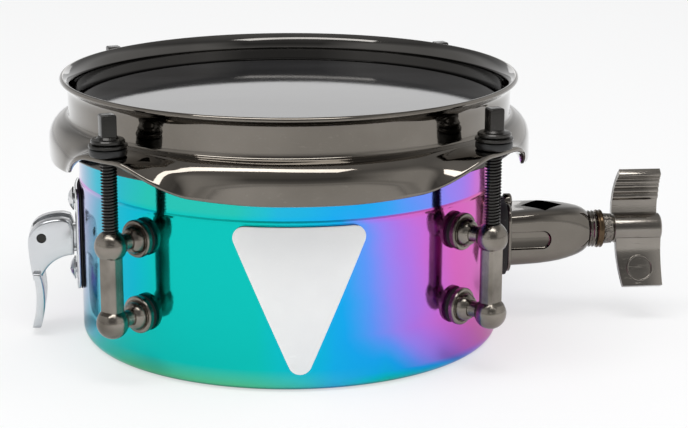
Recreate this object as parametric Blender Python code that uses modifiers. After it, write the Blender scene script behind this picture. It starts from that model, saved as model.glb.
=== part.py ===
# Micro snare drum: a single-headed six-inch steel drum with snares, throw-off and clamp bracket
# Metres, +Z up. The drum stands on its bottom edge; the throw-off is on -X and the clamp on +X
import bmesh
import bpy
from math import acos, atan2, cos, degrees, hypot, pi, radians, sin
from mathutils import Matrix

MM = 0.001

# Clearances and mesh fineness
GAP = 0.3 * MM
MERGE = 0.00001
RING_STEPS = 60
HOOP_STEPS = 72
ROUND_STEPS = 16
SMALL_STEPS = 12

# Shell
SHELL_RADIUS = 76.2 * MM
SHELL_WALL = 1.4 * MM
SHELL_HEIGHT = 84.8 * MM
BOTTOM_BEND = 3.5 * MM
BOTTOM_FLANGE = 6.4 * MM
BEARING_ROUND = 1.6 * MM
BEARING_SWEEP = 110
BEARING_FLANGE = 3.2 * MM
BEAD_HEIGHT = 58.6 * MM
BEAD_WIDTH = 1.8 * MM
BEAD_RISE = 0.3 * MM

# Head: film with its collar, and the ring that holds it
FILM_THICKNESS = 0.3 * MM
FILM_COLLAR = 13.5 * MM
FLESH_WIDTH = 5.6 * MM
FLESH_HEIGHT = 7.0 * MM

# Rim: a pressed hoop with a neck, a skirt and four ears
HOOP_SHEET = 1.8 * MM
NECK_STANDOFF = 3.3 * MM
NECK_FLARE = 2.5 * MM
HOOP_RISE = 9.3 * MM
SHOULDER_DROP = 2.2 * MM
SKIRT_STANDOFF = 7.1 * MM
SKIRT_LENGTH = 8.0 * MM
EAR_DROP = 2.8 * MM
EAR_SHARE = 0.95
EAR_FLAT = radians(5)
EAR_BLEND = radians(11)

# Tension rods with their washers and collars
ROD_COUNT = 4
ROD_STANDOFF = 4.0 * MM
ROD_RADIUS = 2.7 * MM
ROD_TIP_GAP = 0.45 * MM
ROD_FLANGE_RADIUS = 4.7 * MM
ROD_FLANGE_HEIGHT = 1.5 * MM
ROD_HEAD_WIDTH = 6.0 * MM
ROD_HEAD_HEIGHT = 8.1 * MM
WASHER_RADIUS = 6.5 * MM
WASHER_HEIGHT = 1.1 * MM
COLLAR_RADIUS = 6.3 * MM
COLLAR_HEIGHT = 2.4 * MM

# Lugs: two balls on a post, each on a stepped stem
LUG_UPPER = 49.0 * MM
LUG_LOWER = 22.3 * MM
BALL_RADIUS = 5.25 * MM
POST_RADIUS = 3.5 * MM
STEM_RADIUS = 2.8 * MM
DOME_RADIUS = 4.7 * MM
DOME_HEIGHT = 2.6 * MM
FOOT_RADIUS = 6.4 * MM
FOOT_HEIGHT = 3.1 * MM
LUG_BORE_DEPTH = 11.0 * MM
SCREW_RADIUS = 1.9 * MM
SCREW_HEAD_RADIUS = 3.3 * MM
SCREW_HEAD_HEIGHT = 2.2 * MM
SCREW_LENGTH = 11.0 * MM
SCREW_FLANGE_RADIUS = 4.5 * MM
SCREW_FLANGE_HEIGHT = 0.9 * MM

# Throw-off: curved plate with a tongue, lever, pin and sliding rod
PIN_STANDOFF = 14.1 * MM
PIN_HEIGHT = 36.5 * MM
PIN_RADIUS = 1.5 * MM
PIN_LENGTH = 13.2 * MM
PLATE_WIDTH = 24.0 * MM
PLATE_HEIGHT = 37.0 * MM
PLATE_CORNER = 3.5 * MM
PLATE_THICKNESS = 1.0 * MM
GASKET_THICKNESS = 0.4 * MM
PLATE_SCREW_OFFSET = 13.0 * MM
PLATE_SCREW_HEAD = 4.3 * MM
PLATE_SCREW_DOME = 2.2 * MM
TONGUE_WIDTH = 5.0 * MM
TONGUE_HEIGHT = 6.8 * MM
LEVER_WIDTH = 14.0 * MM
LEVER_INNER = 11.5 * MM
LEVER_TOP = 6.9 * MM
LEVER_NOSE = 4.9 * MM
LEVER_HEEL = 6.5 * MM
LEVER_NECK = 13.7 * MM
LEVER_OPEN = radians(80)
BLADE_WIDTH = 19.0 * MM
BLADE_THICKNESS = 2.8 * MM
BLADE_DROP = 34.6 * MM
BLADE_CORNER = 5.0 * MM
WEB_FACE = 7.7 * MM
PUSH_ROD_RADIUS = 1.5 * MM
PUSH_ROD_DROP = 5.4 * MM
PUSH_ROD_LENGTH = 38.0 * MM
PUSH_TRAVEL = 5.0 * MM
BUSH_RADIUS = 3.0 * MM
BUSH_FLANGE = 3.7 * MM
BUSH_FLANGE_HEIGHT = 1.4 * MM
STOP_RADIUS = 3.6 * MM
STOP_HEIGHT = 2.0 * MM
SPRING_WIRE = 0.4 * MM
SPRING_RADIUS = 2.5 * MM
SPRING_TURNS = 4
NUT_RADIUS = 3.5 * MM
NUT_HEIGHT = 2.6 * MM

# Lifter inside the shell
SHEET = 1.5 * MM
BRACKET_WIDTH = 14.0 * MM
BRACKET_MARGIN = 5.0 * MM
GUIDE_REACH = 17.0 * MM
WEDGE_WIDTH = 10.0 * MM
WEDGE_SOCKET = 5.6 * MM
WEDGE_RAMP = 10.5 * MM
WEDGE_SLOPE = 0.5
WEDGE_COVER = 1.6 * MM
LEG_INSET = 24.0 * MM
LEG_THICKNESS = 3.0 * MM
LEG_WIDTH = 10.0 * MM

# Snare carrier, hinged on the clamp side
HINGE_INSET = 14.2 * MM
HINGE_DROP = 8.3 * MM
HINGE_PIN_RADIUS = 1.25 * MM
HINGE_EAR_RADIUS = 3.2 * MM
HINGE_SHELF_DROP = 6.5 * MM
CARRIER_WIDTH = 18.0 * MM
CARRIER_RISE = 3.0 * MM
SNARE_PAD_INSET = 8.0 * MM
SNARE_PAD_LENGTH = 10.0 * MM
SNARE_COUNT = 8
SNARE_PITCH = 2.3 * MM
SNARE_RADIUS = 0.8 * MM
SNARE_PLATE = 1.0 * MM

# Clamp bracket
CLAMP_HEIGHT = 33.7 * MM
CLAMP_PAD_WIDTH = 25.0 * MM
CLAMP_PAD_HEIGHT = 29.0 * MM
CLAMP_PAD_CORNER = 7.0 * MM
CLAMP_GASKET_THICKNESS = 3.0 * MM
CLAMP_FLANGE = 2.2 * MM
CLAMP_BODY_WIDTH = 23.4 * MM
CLAMP_BODY_HEIGHT = 18.0 * MM
CLAMP_BODY_LENGTH = 28.9 * MM
CLAMP_NOSE_RADIUS = 6.9 * MM
CLAMP_SCREW_OFFSET = 11.3 * MM
DIAMOND_REACH = 11.8 * MM
DIAMOND_HALF = 7.8 * MM
EYE_OUTER = 6.6 * MM
EYE_HOLE = 4.9 * MM
EYE_HEIGHT = 7.0 * MM
EYE_OFFSET = 1.0 * MM
EYE_TRAVEL = 2.5 * MM
BOLT_RADIUS = 3.0 * MM
BOLT_REACH = 25.9 * MM
LOCK_WASHER_RADIUS = 6.3 * MM
LOCK_WASHER_HEIGHT = 2.8 * MM
CLAMP_RING_RADIUS = 6.7 * MM
CLAMP_RING_HEIGHT = 2.4 * MM
WING_NECK_LENGTH = 3.9 * MM
WING_BARREL_LENGTH = 18.0 * MM
WING_BARREL_RADIUS = 5.3 * MM
WING_COLLAR_RADIUS = 5.6 * MM
WING_THICKNESS = 2.6 * MM
WING_RISE = 22.6 * MM
WING_DROP = 20.6 * MM

# Badge on the front of the shell
BADGE_TOP = 57.4 * MM
BADGE_WIDTH = 44.5 * MM
BADGE_HEIGHT = 51.0 * MM
BADGE_CORNER = 4.0 * MM
BADGE_THICKNESS = 0.6 * MM
BADGE_TURN = radians(-1.5)

# Places worked out from the sizes above
NECK_RADIUS = SHELL_RADIUS + NECK_STANDOFF
SKIRT_RADIUS = NECK_RADIUS + SKIRT_STANDOFF
HOOP_EDGE = SHELL_HEIGHT + HOOP_RISE
SHOULDER_HEIGHT = SHELL_HEIGHT - SHOULDER_DROP
EAR_HEIGHT = SHOULDER_HEIGHT - EAR_DROP
ROD_SHANK_END = LUG_UPPER + BALL_RADIUS + GAP - LUG_BORE_DEPTH + ROD_TIP_GAP
ROD_CIRCLE = SKIRT_RADIUS + ROD_STANDOFF
PIN_CIRCLE = SHELL_RADIUS + PIN_STANDOFF
HINGE_CIRCLE = SHELL_RADIUS - HINGE_INSET
HINGE_HEIGHT = SHELL_HEIGHT - HINGE_DROP
SNARE_PAD_OUTER = HINGE_CIRCLE - SNARE_PAD_INSET
SNARE_PAD_INNER = SNARE_PAD_OUTER - SNARE_PAD_LENGTH
LEG_PLACE = HINGE_CIRCLE - LEG_INSET
CLAMP_GASKET_FACE = SHELL_RADIUS + CLAMP_GASKET_THICKNESS
SHELL_INNER = SHELL_RADIUS - SHELL_WALL
SEAT_RADIUS = SHELL_RADIUS + GAP
FILM_BOTTOM = SHELL_HEIGHT + GAP
FILM_TOP = FILM_BOTTOM + FILM_THICKNESS
FILM_OUTER = SEAT_RADIUS + FILM_THICKNESS
FLESH_INNER = FILM_OUTER + GAP
FLESH_TOP = EAR_HEIGHT - HOOP_SHEET - GAP
COLLAR_BASE = EAR_HEIGHT + GAP
WASHER_BASE = COLLAR_BASE + COLLAR_HEIGHT + GAP
ROD_FLANGE_BASE = WASHER_BASE + WASHER_HEIGHT + GAP
ROD_HEAD_BASE = ROD_FLANGE_BASE + ROD_FLANGE_HEIGHT
ROD_CLEARANCE_RADIUS = ROD_RADIUS + GAP
SCREW_HOLE_RADIUS = SCREW_RADIUS + GAP
LUG_SEAT = SEAT_RADIUS
PLATE_INNER = SEAT_RADIUS + GASKET_THICKNESS + GAP
PLATE_OUTER = PLATE_INNER + PLATE_THICKNESS
PUSH_ROD_HEIGHT = PIN_HEIGHT - PUSH_ROD_DROP
PUSH_ROD_HEAD = PIN_CIRCLE - WEB_FACE - GAP
PUSH_ROD_TAIL = PUSH_ROD_HEAD - PUSH_ROD_LENGTH
BRACKET_FACE = SHELL_INNER - GAP
BRACKET_INNER = (BRACKET_FACE**2 - (BRACKET_WIDTH / 2)**2)**0.5 - SHEET
BUSH_FLANGE_FACE = BRACKET_INNER - GAP
NUT_FACE = BRACKET_INNER - GAP
STOP_FACE = BUSH_FLANGE_FACE - BUSH_FLANGE_HEIGHT - GAP - PUSH_TRAVEL
GUIDE_FACE = BRACKET_INNER - GUIDE_REACH
GUIDE_OUTER = GUIDE_FACE + SHEET
SHELF_HEIGHT = PIN_HEIGHT - PLATE_SCREW_OFFSET - BRACKET_MARGIN
STRAP_TOP = PIN_HEIGHT + PLATE_SCREW_OFFSET + BRACKET_MARGIN
WEDGE_OUTER = PUSH_ROD_TAIL + WEDGE_SOCKET
WEDGE_TOP = PUSH_ROD_HEIGHT + PUSH_ROD_RADIUS + GAP + WEDGE_COVER
RAMP_END = LEG_PLACE + LEG_THICKNESS / 2
RAMP_AT_LEG = WEDGE_TOP - WEDGE_SLOPE * (RAMP_END - LEG_PLACE)
LEG_TIP = RAMP_AT_LEG + hypot(1, WEDGE_SLOPE) * (LEG_THICKNESS / 2 + GAP)
SNARE_TOP = FILM_BOTTOM - GAP
SNARE_AXIS = SNARE_TOP - SNARE_RADIUS
SNARE_PLATE_TOP = SNARE_AXIS - SNARE_RADIUS / 2
CARRIER_PAD = SNARE_PLATE_TOP - SNARE_PLATE - GAP - SHEET / 2
KNUCKLE_RADIUS = HINGE_PIN_RADIUS + GAP + SHEET / 2
CARRIER_BAR = HINGE_HEIGHT - KNUCKLE_RADIUS
HINGE_STRAP_WIDTH = CARRIER_WIDTH + 2 * (GAP + SHEET)
HINGE_STRAP = ((SHELL_INNER - GAP)**2 - (HINGE_STRAP_WIDTH / 2)**2)**0.5 - SHEET / 2
HINGE_SHELF = HINGE_HEIGHT - HINGE_SHELF_DROP
LEVER_SWEEP = PIN_CIRCLE - PLATE_OUTER - GAP
CLAMP_FLANGE_FACE = CLAMP_GASKET_FACE + GAP
CLAMP_BODY_START = CLAMP_FLANGE_FACE + CLAMP_FLANGE
CLAMP_NOSE_FACE = CLAMP_BODY_START + CLAMP_BODY_LENGTH
DIAMOND_CENTRE = CLAMP_BODY_START + DIAMOND_REACH
BOLT_END = CLAMP_NOSE_FACE + BOLT_REACH
EYE_CENTRE = DIAMOND_CENTRE + EYE_OFFSET
LOCK_WASHER_FACE = CLAMP_NOSE_FACE + GAP
CLAMP_RING_FACE = LOCK_WASHER_FACE + LOCK_WASHER_HEIGHT + GAP
WING_FACE = CLAMP_RING_FACE + CLAMP_RING_HEIGHT + GAP
WING_BARREL_START = WING_FACE + WING_NECK_LENGTH
WING_END = WING_BARREL_START + WING_BARREL_LENGTH
LEVER_REACH = PIN_CIRCLE + LEVER_NOSE
AXIS_X = (LEVER_REACH - WING_END) / 2

for old in list(bpy.data.objects):
    bpy.data.objects.remove(old)
PARTS = bpy.data.collections.new("micro_snare_drum")
CUTTERS = bpy.data.collections.new("cutters")
for group in (PARTS, CUTTERS):
    bpy.context.scene.collection.children.link(group)


# Materials

def material(name, colour, metallic, roughness):
    made = bpy.data.materials.new(name)
    made.use_nodes = True
    shader = made.node_tree.nodes["Principled BSDF"]
    shader.inputs["Base Color"].default_value = (*colour, 1)
    shader.inputs["Metallic"].default_value = metallic
    shader.inputs["Roughness"].default_value = roughness
    return made


OIL_SLICK = material("oil_slick_plating", (0.05, 0.55, 0.55), 1.0, 0.12)
BLACK_NICKEL = material("black_nickel", (0.20, 0.18, 0.16), 1.0, 0.15)
CHROME = material("chrome", (0.75, 0.76, 0.78), 1.0, 0.10)
BLACK_OXIDE = material("black_oxide", (0.03, 0.03, 0.03), 0.6, 0.45)
SMOKE_FILM = material("smoke_film", (0.04, 0.04, 0.04), 0.0, 0.12)
ALUMINIUM = material("aluminium", (0.60, 0.60, 0.62), 1.0, 0.30)
BLACK_RUBBER = material("black_rubber", (0.02, 0.02, 0.02), 0.0, 0.70)
BLACK_NYLON = material("black_nylon", (0.03, 0.03, 0.03), 0.0, 0.45)
BRASS = material("brass", (0.35, 0.26, 0.13), 1.0, 0.30)
SPRING_STEEL = material("spring_steel", (0.55, 0.55, 0.55), 1.0, 0.28)
WHITE_ENAMEL = material("white_enamel", (0.85, 0.85, 0.85), 0.0, 0.25)


# Placing

def place(obj, parent, location=(0, 0, 0), rotation=(0, 0, 0)):
    obj.parent = parent
    obj.location = location
    obj.rotation_euler = rotation
    return obj


def part(obj, finish, parent, location=(0, 0, 0), rotation=(0, 0, 0)):
    PARTS.objects.link(obj)
    obj.data.materials.clear()
    obj.data.materials.append(finish)
    return place(obj, parent, location, rotation)


def tool(obj, parent, location=(0, 0, 0), rotation=(0, 0, 0)):
    CUTTERS.objects.link(obj)
    obj.hide_render = True
    obj.display_type = "WIRE"
    return place(obj, parent, location, rotation)


def empty(name, parent=None, location=(0, 0, 0), turn=0):
    guide = bpy.data.objects.new(name, None)
    PARTS.objects.link(guide)
    return place(guide, parent, location, (0, 0, turn))


def boolean(obj, other, operation="DIFFERENCE"):
    step = obj.modifiers.new(other.name, "BOOLEAN")
    step.object = other
    step.operation = operation
    step.solver = "EXACT"


def frozen_mesh(obj):
    bpy.context.view_layer.update()
    graph = bpy.context.evaluated_depsgraph_get()
    return bpy.data.meshes.new_from_object(obj.evaluated_get(graph))


def smooth(mesh, angle=radians(35)):
    mesh.shade_smooth()
    mesh.set_sharp_from_angle(angle=angle)
    return mesh


# Shapes

AROUND_X = (0, pi / 2, 0)
UPRIGHT = (pi / 2, 0, 0)
FACING_X = (pi / 2, 0, pi / 2)


def turned(name, profile, steps=ROUND_STEPS, solid=False):
    """Turn (radius, height) points about Z; they run top to bottom down the outer side."""
    mesh = bpy.data.meshes.new(name)
    edges = [(i, i + 1) for i in range(len(profile) - 1)]
    if not solid:
        edges.append((len(profile) - 1, 0))
    mesh.from_pydata([(radius, 0, height) for radius, height in profile], edges, [])
    obj = bpy.data.objects.new(name, mesh)
    screw = obj.modifiers.new("turn", "SCREW")
    screw.steps = steps
    screw.render_steps = steps
    screw.use_merge_vertices = True
    screw.merge_threshold = MERGE
    return obj


def tube(name, inner, outer, base, height, steps=ROUND_STEPS):
    top = base + height
    return turned(name, [(inner, top), (outer, top), (outer, base), (inner, base)], steps)


def from_bmesh(name, bm):
    mesh = bpy.data.meshes.new(name)
    bm.to_mesh(mesh)
    bm.free()
    return bpy.data.objects.new(name, mesh)


def cylinder(name, radius, length, steps=ROUND_STEPS):
    bm = bmesh.new()
    bmesh.ops.create_cone(bm, cap_ends=True, segments=steps, radius1=radius, radius2=radius, depth=length)
    obj = from_bmesh(name, bm)
    smooth(obj.data)
    return obj


def block(name, size):
    bm = bmesh.new()
    bmesh.ops.create_cube(bm, size=1, matrix=Matrix.Diagonal((*size, 1)))
    return from_bmesh(name, bm)


def prism(name, outline, thickness):
    """Extrude an outline in the XY plane evenly to both sides."""
    curve = bpy.data.curves.new(name, "CURVE")
    curve.dimensions = "2D"
    curve.fill_mode = "BOTH"
    curve.extrude = thickness / 2
    spline = curve.splines.new("POLY")
    spline.points.add(len(outline) - 1)
    spline.use_cyclic_u = True
    for point, (x, y) in zip(spline.points, outline):
        point.co = (x, y, 0, 1)
    guide = bpy.data.objects.new(name + "_outline", curve)
    CUTTERS.objects.link(guide)
    mesh = frozen_mesh(guide)
    bm = bmesh.new()
    bm.from_mesh(mesh)
    bmesh.ops.remove_doubles(bm, verts=bm.verts, dist=MERGE)
    bmesh.ops.recalc_face_normals(bm, faces=bm.faces)
    obj = from_bmesh(name, bm)
    obj.matrix_world = guide.matrix_world
    bpy.data.objects.remove(guide)
    return obj


def strip(name, path, width, thickness):
    """A bent strip: the path lies in the XZ plane and the strip is as wide along Y."""
    bm = bmesh.new()
    points = [bm.verts.new((x, -width / 2, z)) for x, z in path]
    edges = [bm.edges.new(pair) for pair in zip(points, points[1:])]
    sides = bmesh.ops.extrude_edge_only(bm, edges=edges)
    moved = [item for item in sides["geom"] if isinstance(item, bmesh.types.BMVert)]
    bmesh.ops.translate(bm, verts=moved, vec=(0, width, 0))
    obj = from_bmesh(name, bm)
    wall = obj.modifiers.new("sheet", "SOLIDIFY")
    wall.thickness = thickness
    wall.offset = 0
    wall.use_even_offset = True
    return obj


def joined(name, source, places):
    """Copies of a cutter at several places, as one cutter."""
    shape = baked(source)
    bm = bmesh.new()
    for matrix in places:
        before = len(bm.verts)
        bm.from_mesh(shape)
        bm.verts.ensure_lookup_table()
        bmesh.ops.transform(bm, matrix=matrix, verts=bm.verts[before:])
    return from_bmesh(name, bm)


def baked(source):
    """The finished mesh of a form that isn't kept itself."""
    CUTTERS.objects.link(source)
    mesh = smooth(frozen_mesh(source))
    bpy.data.objects.remove(source)
    return mesh


def shared(name, mesh, finish, parent, location=(0, 0, 0), rotation=(0, 0, 0)):
    return part(bpy.data.objects.new(name, mesh), finish, parent, location, rotation)


def arc(centre, radius, start, end, count):
    """Points on an arc between two angles in degrees."""
    angles = [radians(start + (end - start) * i / (count - 1)) for i in range(count)]
    return [(centre[0] + radius * cos(a), centre[1] + radius * sin(a)) for a in angles]


def rounded_rectangle(width, height, corner, centre=(0, 0), count=4):
    across = width / 2 - corner
    up = height / 2 - corner
    points = []
    for sign_x, sign_y, start in ((1, 1, 0), (-1, 1, 90), (-1, -1, 180), (1, -1, 270)):
        middle = (centre[0] + sign_x * across, centre[1] + sign_y * up)
        points += arc(middle, corner, start, start + 90, count)
    return points


def wrapped(name, outline, inner, outer, parent):
    """A plate that follows the shell between two radii, inside an outline seen along X."""
    low = min(z for _, z in outline) - SHEET
    high = max(z for _, z in outline) + SHEET
    obj = tube(name, inner, outer, low, high - low, RING_STEPS)
    window = prism(name + "_window", outline, outer)
    boolean(obj, tool(window, parent, (inner, 0, 0), FACING_X), "INTERSECT")
    return obj


# Frames: the drum's axis, the throw-off's side, the front, and one for each rod

DRUM = empty("drum_axis", location=(AXIS_X, 0, 0))
THROW_SIDE = empty("throw_side", DRUM, turn=pi)
FRONT = empty("front_side", DRUM, turn=-pi / 2 + BADGE_TURN)
CORNERS = {
    "front_right": radians(-45),
    "back_right": radians(45),
    "back_left": radians(135),
    "front_left": radians(-135),
}
ROD_FRAMES = {name: empty("rod_" + name, DRUM, turn=angle) for name, angle in CORNERS.items()}
LUG_HEIGHTS = (LUG_LOWER, LUG_UPPER)
PLATE_SCREW_HEIGHTS = [PIN_HEIGHT + side * PLATE_SCREW_OFFSET for side in (-1, 1)]
CLAMP_SCREW_HEIGHTS = [CLAMP_HEIGHT + side * CLAMP_SCREW_OFFSET for side in (-1, 1)]


def at_lugs():
    return [Matrix.Rotation(angle, 4, "Z") @ Matrix.Translation((0, 0, height))
            for angle in CORNERS.values() for height in LUG_HEIGHTS]


def at_rods():
    return [Matrix.Rotation(angle, 4, "Z") @ Matrix.Translation((ROD_CIRCLE, 0, 0))
            for angle in CORNERS.values()]


def along_x(distance, height=0):
    """Place a part made along Z so that it lies along X, with its zero at a distance."""
    return Matrix.Translation((distance, 0, height)) @ Matrix.Rotation(pi / 2, 4, "Y")


def radial(obj, distance=0):
    obj.data.transform(along_x(distance))
    return obj


def hole(name, radius, start, end, steps=ROUND_STEPS):
    """A cutter along X between two distances from the axis."""
    return radial(cylinder(name, radius, end - start, steps), (start + end) / 2)


# Shell

def make_shell():
    bottom_outer = (SHELL_RADIUS - BOTTOM_BEND, BOTTOM_BEND)
    inner_bend = BOTTOM_BEND - SHELL_WALL
    top_centre = (SHELL_RADIUS - BEARING_ROUND, SHELL_HEIGHT - BEARING_ROUND)
    flange_edge = SHELL_RADIUS - BOTTOM_FLANGE
    lip_edge = SHELL_RADIUS - BEARING_ROUND - BEARING_FLANGE
    lip_top = SHELL_HEIGHT - BEARING_FLANGE / 2
    bead = [(SHELL_RADIUS, BEAD_HEIGHT + BEAD_WIDTH / 2),
            (SHELL_RADIUS + BEAD_RISE, BEAD_HEIGHT),
            (SHELL_RADIUS, BEAD_HEIGHT - BEAD_WIDTH / 2)]
    profile = [(lip_edge, lip_top)]
    profile += list(reversed(arc(top_centre, BEARING_ROUND, 0, BEARING_SWEEP, 4)))
    profile += bead
    profile += list(reversed(arc(bottom_outer, BOTTOM_BEND, -90, 0, 4)))
    profile += [(flange_edge, 0), (flange_edge, SHELL_WALL)]
    profile += arc(bottom_outer, inner_bend, -90, 0, 3)
    profile += [(SHELL_INNER, SHELL_HEIGHT - BEARING_ROUND - SHELL_WALL)]
    profile += [(lip_edge, lip_top - SHELL_WALL)]
    shell = part(turned("shell", profile, RING_STEPS), OIL_SLICK, DRUM)
    start = SHELL_INNER - BOTTOM_BEND
    end = SHELL_RADIUS + BOTTOM_BEND
    places = at_lugs()
    places += [Matrix.Rotation(pi, 4, "Z") @ Matrix.Translation((0, 0, z)) for z in PLATE_SCREW_HEIGHTS]
    places += [Matrix.Translation((0, 0, z)) for z in CLAMP_SCREW_HEIGHTS]
    drills = joined("screw_drills", hole("drill", SCREW_HOLE_RADIUS, start, end, SMALL_STEPS), places)
    boolean(shell, tool(drills, DRUM))
    bush_drill = hole("bush_drill", BUSH_RADIUS + GAP, start, end)
    boolean(shell, tool(bush_drill, THROW_SIDE, (0, 0, PUSH_ROD_HEIGHT)))


def make_badge():
    half = BADGE_WIDTH / 2 - BADGE_CORNER
    low = BADGE_TOP - BADGE_HEIGHT + BADGE_CORNER
    top = BADGE_TOP - BADGE_CORNER
    slope = degrees(atan2(half, top - low))
    outline = arc((half, top), BADGE_CORNER, -slope, 90, 6)
    outline += arc((-half, top), BADGE_CORNER, 90, 180 + slope, 6)
    outline += arc((0, low), BADGE_CORNER, 180 + slope, 360 - slope, 6)
    badge = wrapped("badge", outline, SEAT_RADIUS, SEAT_RADIUS + BADGE_THICKNESS, FRONT)
    part(badge, WHITE_ENAMEL, FRONT)


# Head

def make_head():
    edge = FILM_THICKNESS
    low = FILM_TOP - FILM_COLLAR
    profile = [(0, FILM_TOP), (FILM_OUTER - 3 * edge, FILM_TOP), (FILM_OUTER - edge, FILM_TOP - edge),
               (FILM_OUTER, FILM_TOP - 3 * edge), (FILM_OUTER, low), (FILM_OUTER - edge, low),
               (FILM_OUTER - edge, FILM_TOP - 3 * edge), (FILM_OUTER - 3 * edge, FILM_BOTTOM),
               (0, FILM_BOTTOM)]
    part(turned("batter_film", profile, RING_STEPS, solid=True), SMOKE_FILM, DRUM)
    outer = FLESH_INNER + FLESH_WIDTH
    base = FLESH_TOP - FLESH_HEIGHT
    round_off = FLESH_WIDTH / 5
    profile = [(FLESH_INNER, FLESH_TOP), (outer - round_off, FLESH_TOP), (outer, FLESH_TOP - round_off),
               (outer, base), (FLESH_INNER, base)]
    part(turned("flesh_hoop", profile, RING_STEPS), ALUMINIUM, DRUM)


# Rim

def hoop_section(swing):
    """Outer surface of the hoop from lip to edge; swing 1 lays the skirt out flat as an ear."""
    flare_height = HOOP_EDGE - SHOULDER_HEIGHT
    neck = [(NECK_RADIUS + NECK_FLARE, HOOP_EDGE),
            (NECK_RADIUS + NECK_FLARE * 0.5, HOOP_EDGE - flare_height * 0.13),
            (NECK_RADIUS + NECK_FLARE * 0.1, HOOP_EDGE - flare_height * 0.4),
            (NECK_RADIUS, SHOULDER_HEIGHT + 2 * MM),
            (NECK_RADIUS + 0.7 * MM, SHOULDER_HEIGHT + 0.6 * MM),
            (NECK_RADIUS + 2.2 * MM, SHOULDER_HEIGHT)]
    bends_down = (30, 48, 66, 82, 90, 92)
    bends_out = (70, 30, 0, 0, 0, 0)
    across = SKIRT_RADIUS - neck[-1][0]
    shoulder_step = across / sum(cos(radians(a)) for a in bends_down[:4])
    steps = [shoulder_step] * 4 + [SKIRT_LENGTH / 2] * 2
    out_drop = EAR_SHARE * sum(s * sin(radians(a)) for s, a in zip(steps, bends_out))
    out_scale = (SHOULDER_HEIGHT - EAR_HEIGHT) / out_drop
    radius, height = neck[-1]
    section = list(neck)
    for step, down, out in zip(steps, bends_down, bends_out):
        angle = radians(down * (1 - swing) + out * swing)
        length = step * (1 - swing + EAR_SHARE * swing)
        radius += length * cos(angle)
        height -= length * sin(angle) * (1 - swing + out_scale * swing)
        section.append((radius, height))
    return section


def ear_swing(azimuth):
    nearest = min(abs((azimuth - angle + pi) % (2 * pi) - pi) for angle in CORNERS.values())
    share = min(max((nearest - EAR_FLAT) / EAR_BLEND, 0), 1)
    return 1 - share * share * (3 - 2 * share)


def make_hoop():
    rest = hoop_section(0)
    bm = bmesh.new()
    chain = [bm.verts.new((radius, 0, height)) for radius, height in rest]
    edges = [bm.edges.new(pair) for pair in zip(chain, chain[1:])]
    bmesh.ops.spin(bm, geom=chain + edges, cent=(0, 0, 0), axis=(0, 0, 1), angle=2 * pi,
                   steps=HOOP_STEPS, use_merge=True)
    for vert in bm.verts:
        radius = hypot(vert.co.x, vert.co.y)
        azimuth = atan2(vert.co.y, vert.co.x)
        row = min(range(len(rest)), key=lambda i: hypot(rest[i][0] - radius, rest[i][1] - vert.co.z))
        new_radius, new_height = hoop_section(ear_swing(azimuth))[row]
        vert.co = (new_radius * cos(azimuth), new_radius * sin(azimuth), new_height)
    bmesh.ops.recalc_face_normals(bm, faces=bm.faces)
    hoop = from_bmesh("counter_hoop", bm)
    hoop.data.shade_smooth()
    wall = hoop.modifiers.new("sheet", "SOLIDIFY")
    wall.thickness = HOOP_SHEET
    wall.offset = -1 if hoop_faces_out(hoop) else 1
    drill = cylinder("ear_drill", ROD_CLEARANCE_RADIUS, 6 * HOOP_SHEET)
    drill.data.transform(Matrix.Translation((0, 0, EAR_HEIGHT)))
    drills = joined("ear_drills", drill, at_rods())
    part(hoop, BLACK_NICKEL, DRUM)
    boolean(hoop, tool(drills, DRUM))


def hoop_faces_out(hoop):
    neck_faces = [face for face in hoop.data.polygons
                  if SHOULDER_HEIGHT + 2 * MM < face.center.z < HOOP_EDGE - 6 * MM]
    face = neck_faces[0]
    return face.normal.x * face.center.x + face.normal.y * face.center.y > 0


# Tension rods

def make_rods():
    profile = [(0, ROD_HEAD_BASE), (ROD_FLANGE_RADIUS, ROD_HEAD_BASE), (ROD_FLANGE_RADIUS, ROD_FLANGE_BASE),
               (ROD_RADIUS, ROD_FLANGE_BASE), (ROD_RADIUS, ROD_SHANK_END + ROD_RADIUS / 2),
               (ROD_RADIUS / 2, ROD_SHANK_END), (0, ROD_SHANK_END)]
    rod = turned("rod_form", profile, solid=True)
    sunk = ROD_FLANGE_HEIGHT / 2
    head = block("rod_head", (ROD_HEAD_WIDTH, ROD_HEAD_WIDTH, ROD_HEAD_HEIGHT + sunk))
    middle = ROD_HEAD_BASE + (ROD_HEAD_HEIGHT - sunk) / 2
    boolean(rod, tool(head, None, (0, 0, middle)), "UNION")
    rod_mesh = baked(rod)
    washer = baked(tube("washer", ROD_CLEARANCE_RADIUS, WASHER_RADIUS, WASHER_BASE, WASHER_HEIGHT))
    collar = baked(tube("collar", ROD_CLEARANCE_RADIUS, COLLAR_RADIUS, COLLAR_BASE, COLLAR_HEIGHT))
    for corner, frame in ROD_FRAMES.items():
        shared("tension_rod_" + corner, rod_mesh, BLACK_OXIDE, frame, (ROD_CIRCLE, 0, 0))
        shared("rod_washer_" + corner, washer, BLACK_OXIDE, frame, (ROD_CIRCLE, 0, 0))
        shared("rod_collar_" + corner, collar, BLACK_NYLON, frame, (ROD_CIRCLE, 0, 0))


# Lugs

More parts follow.
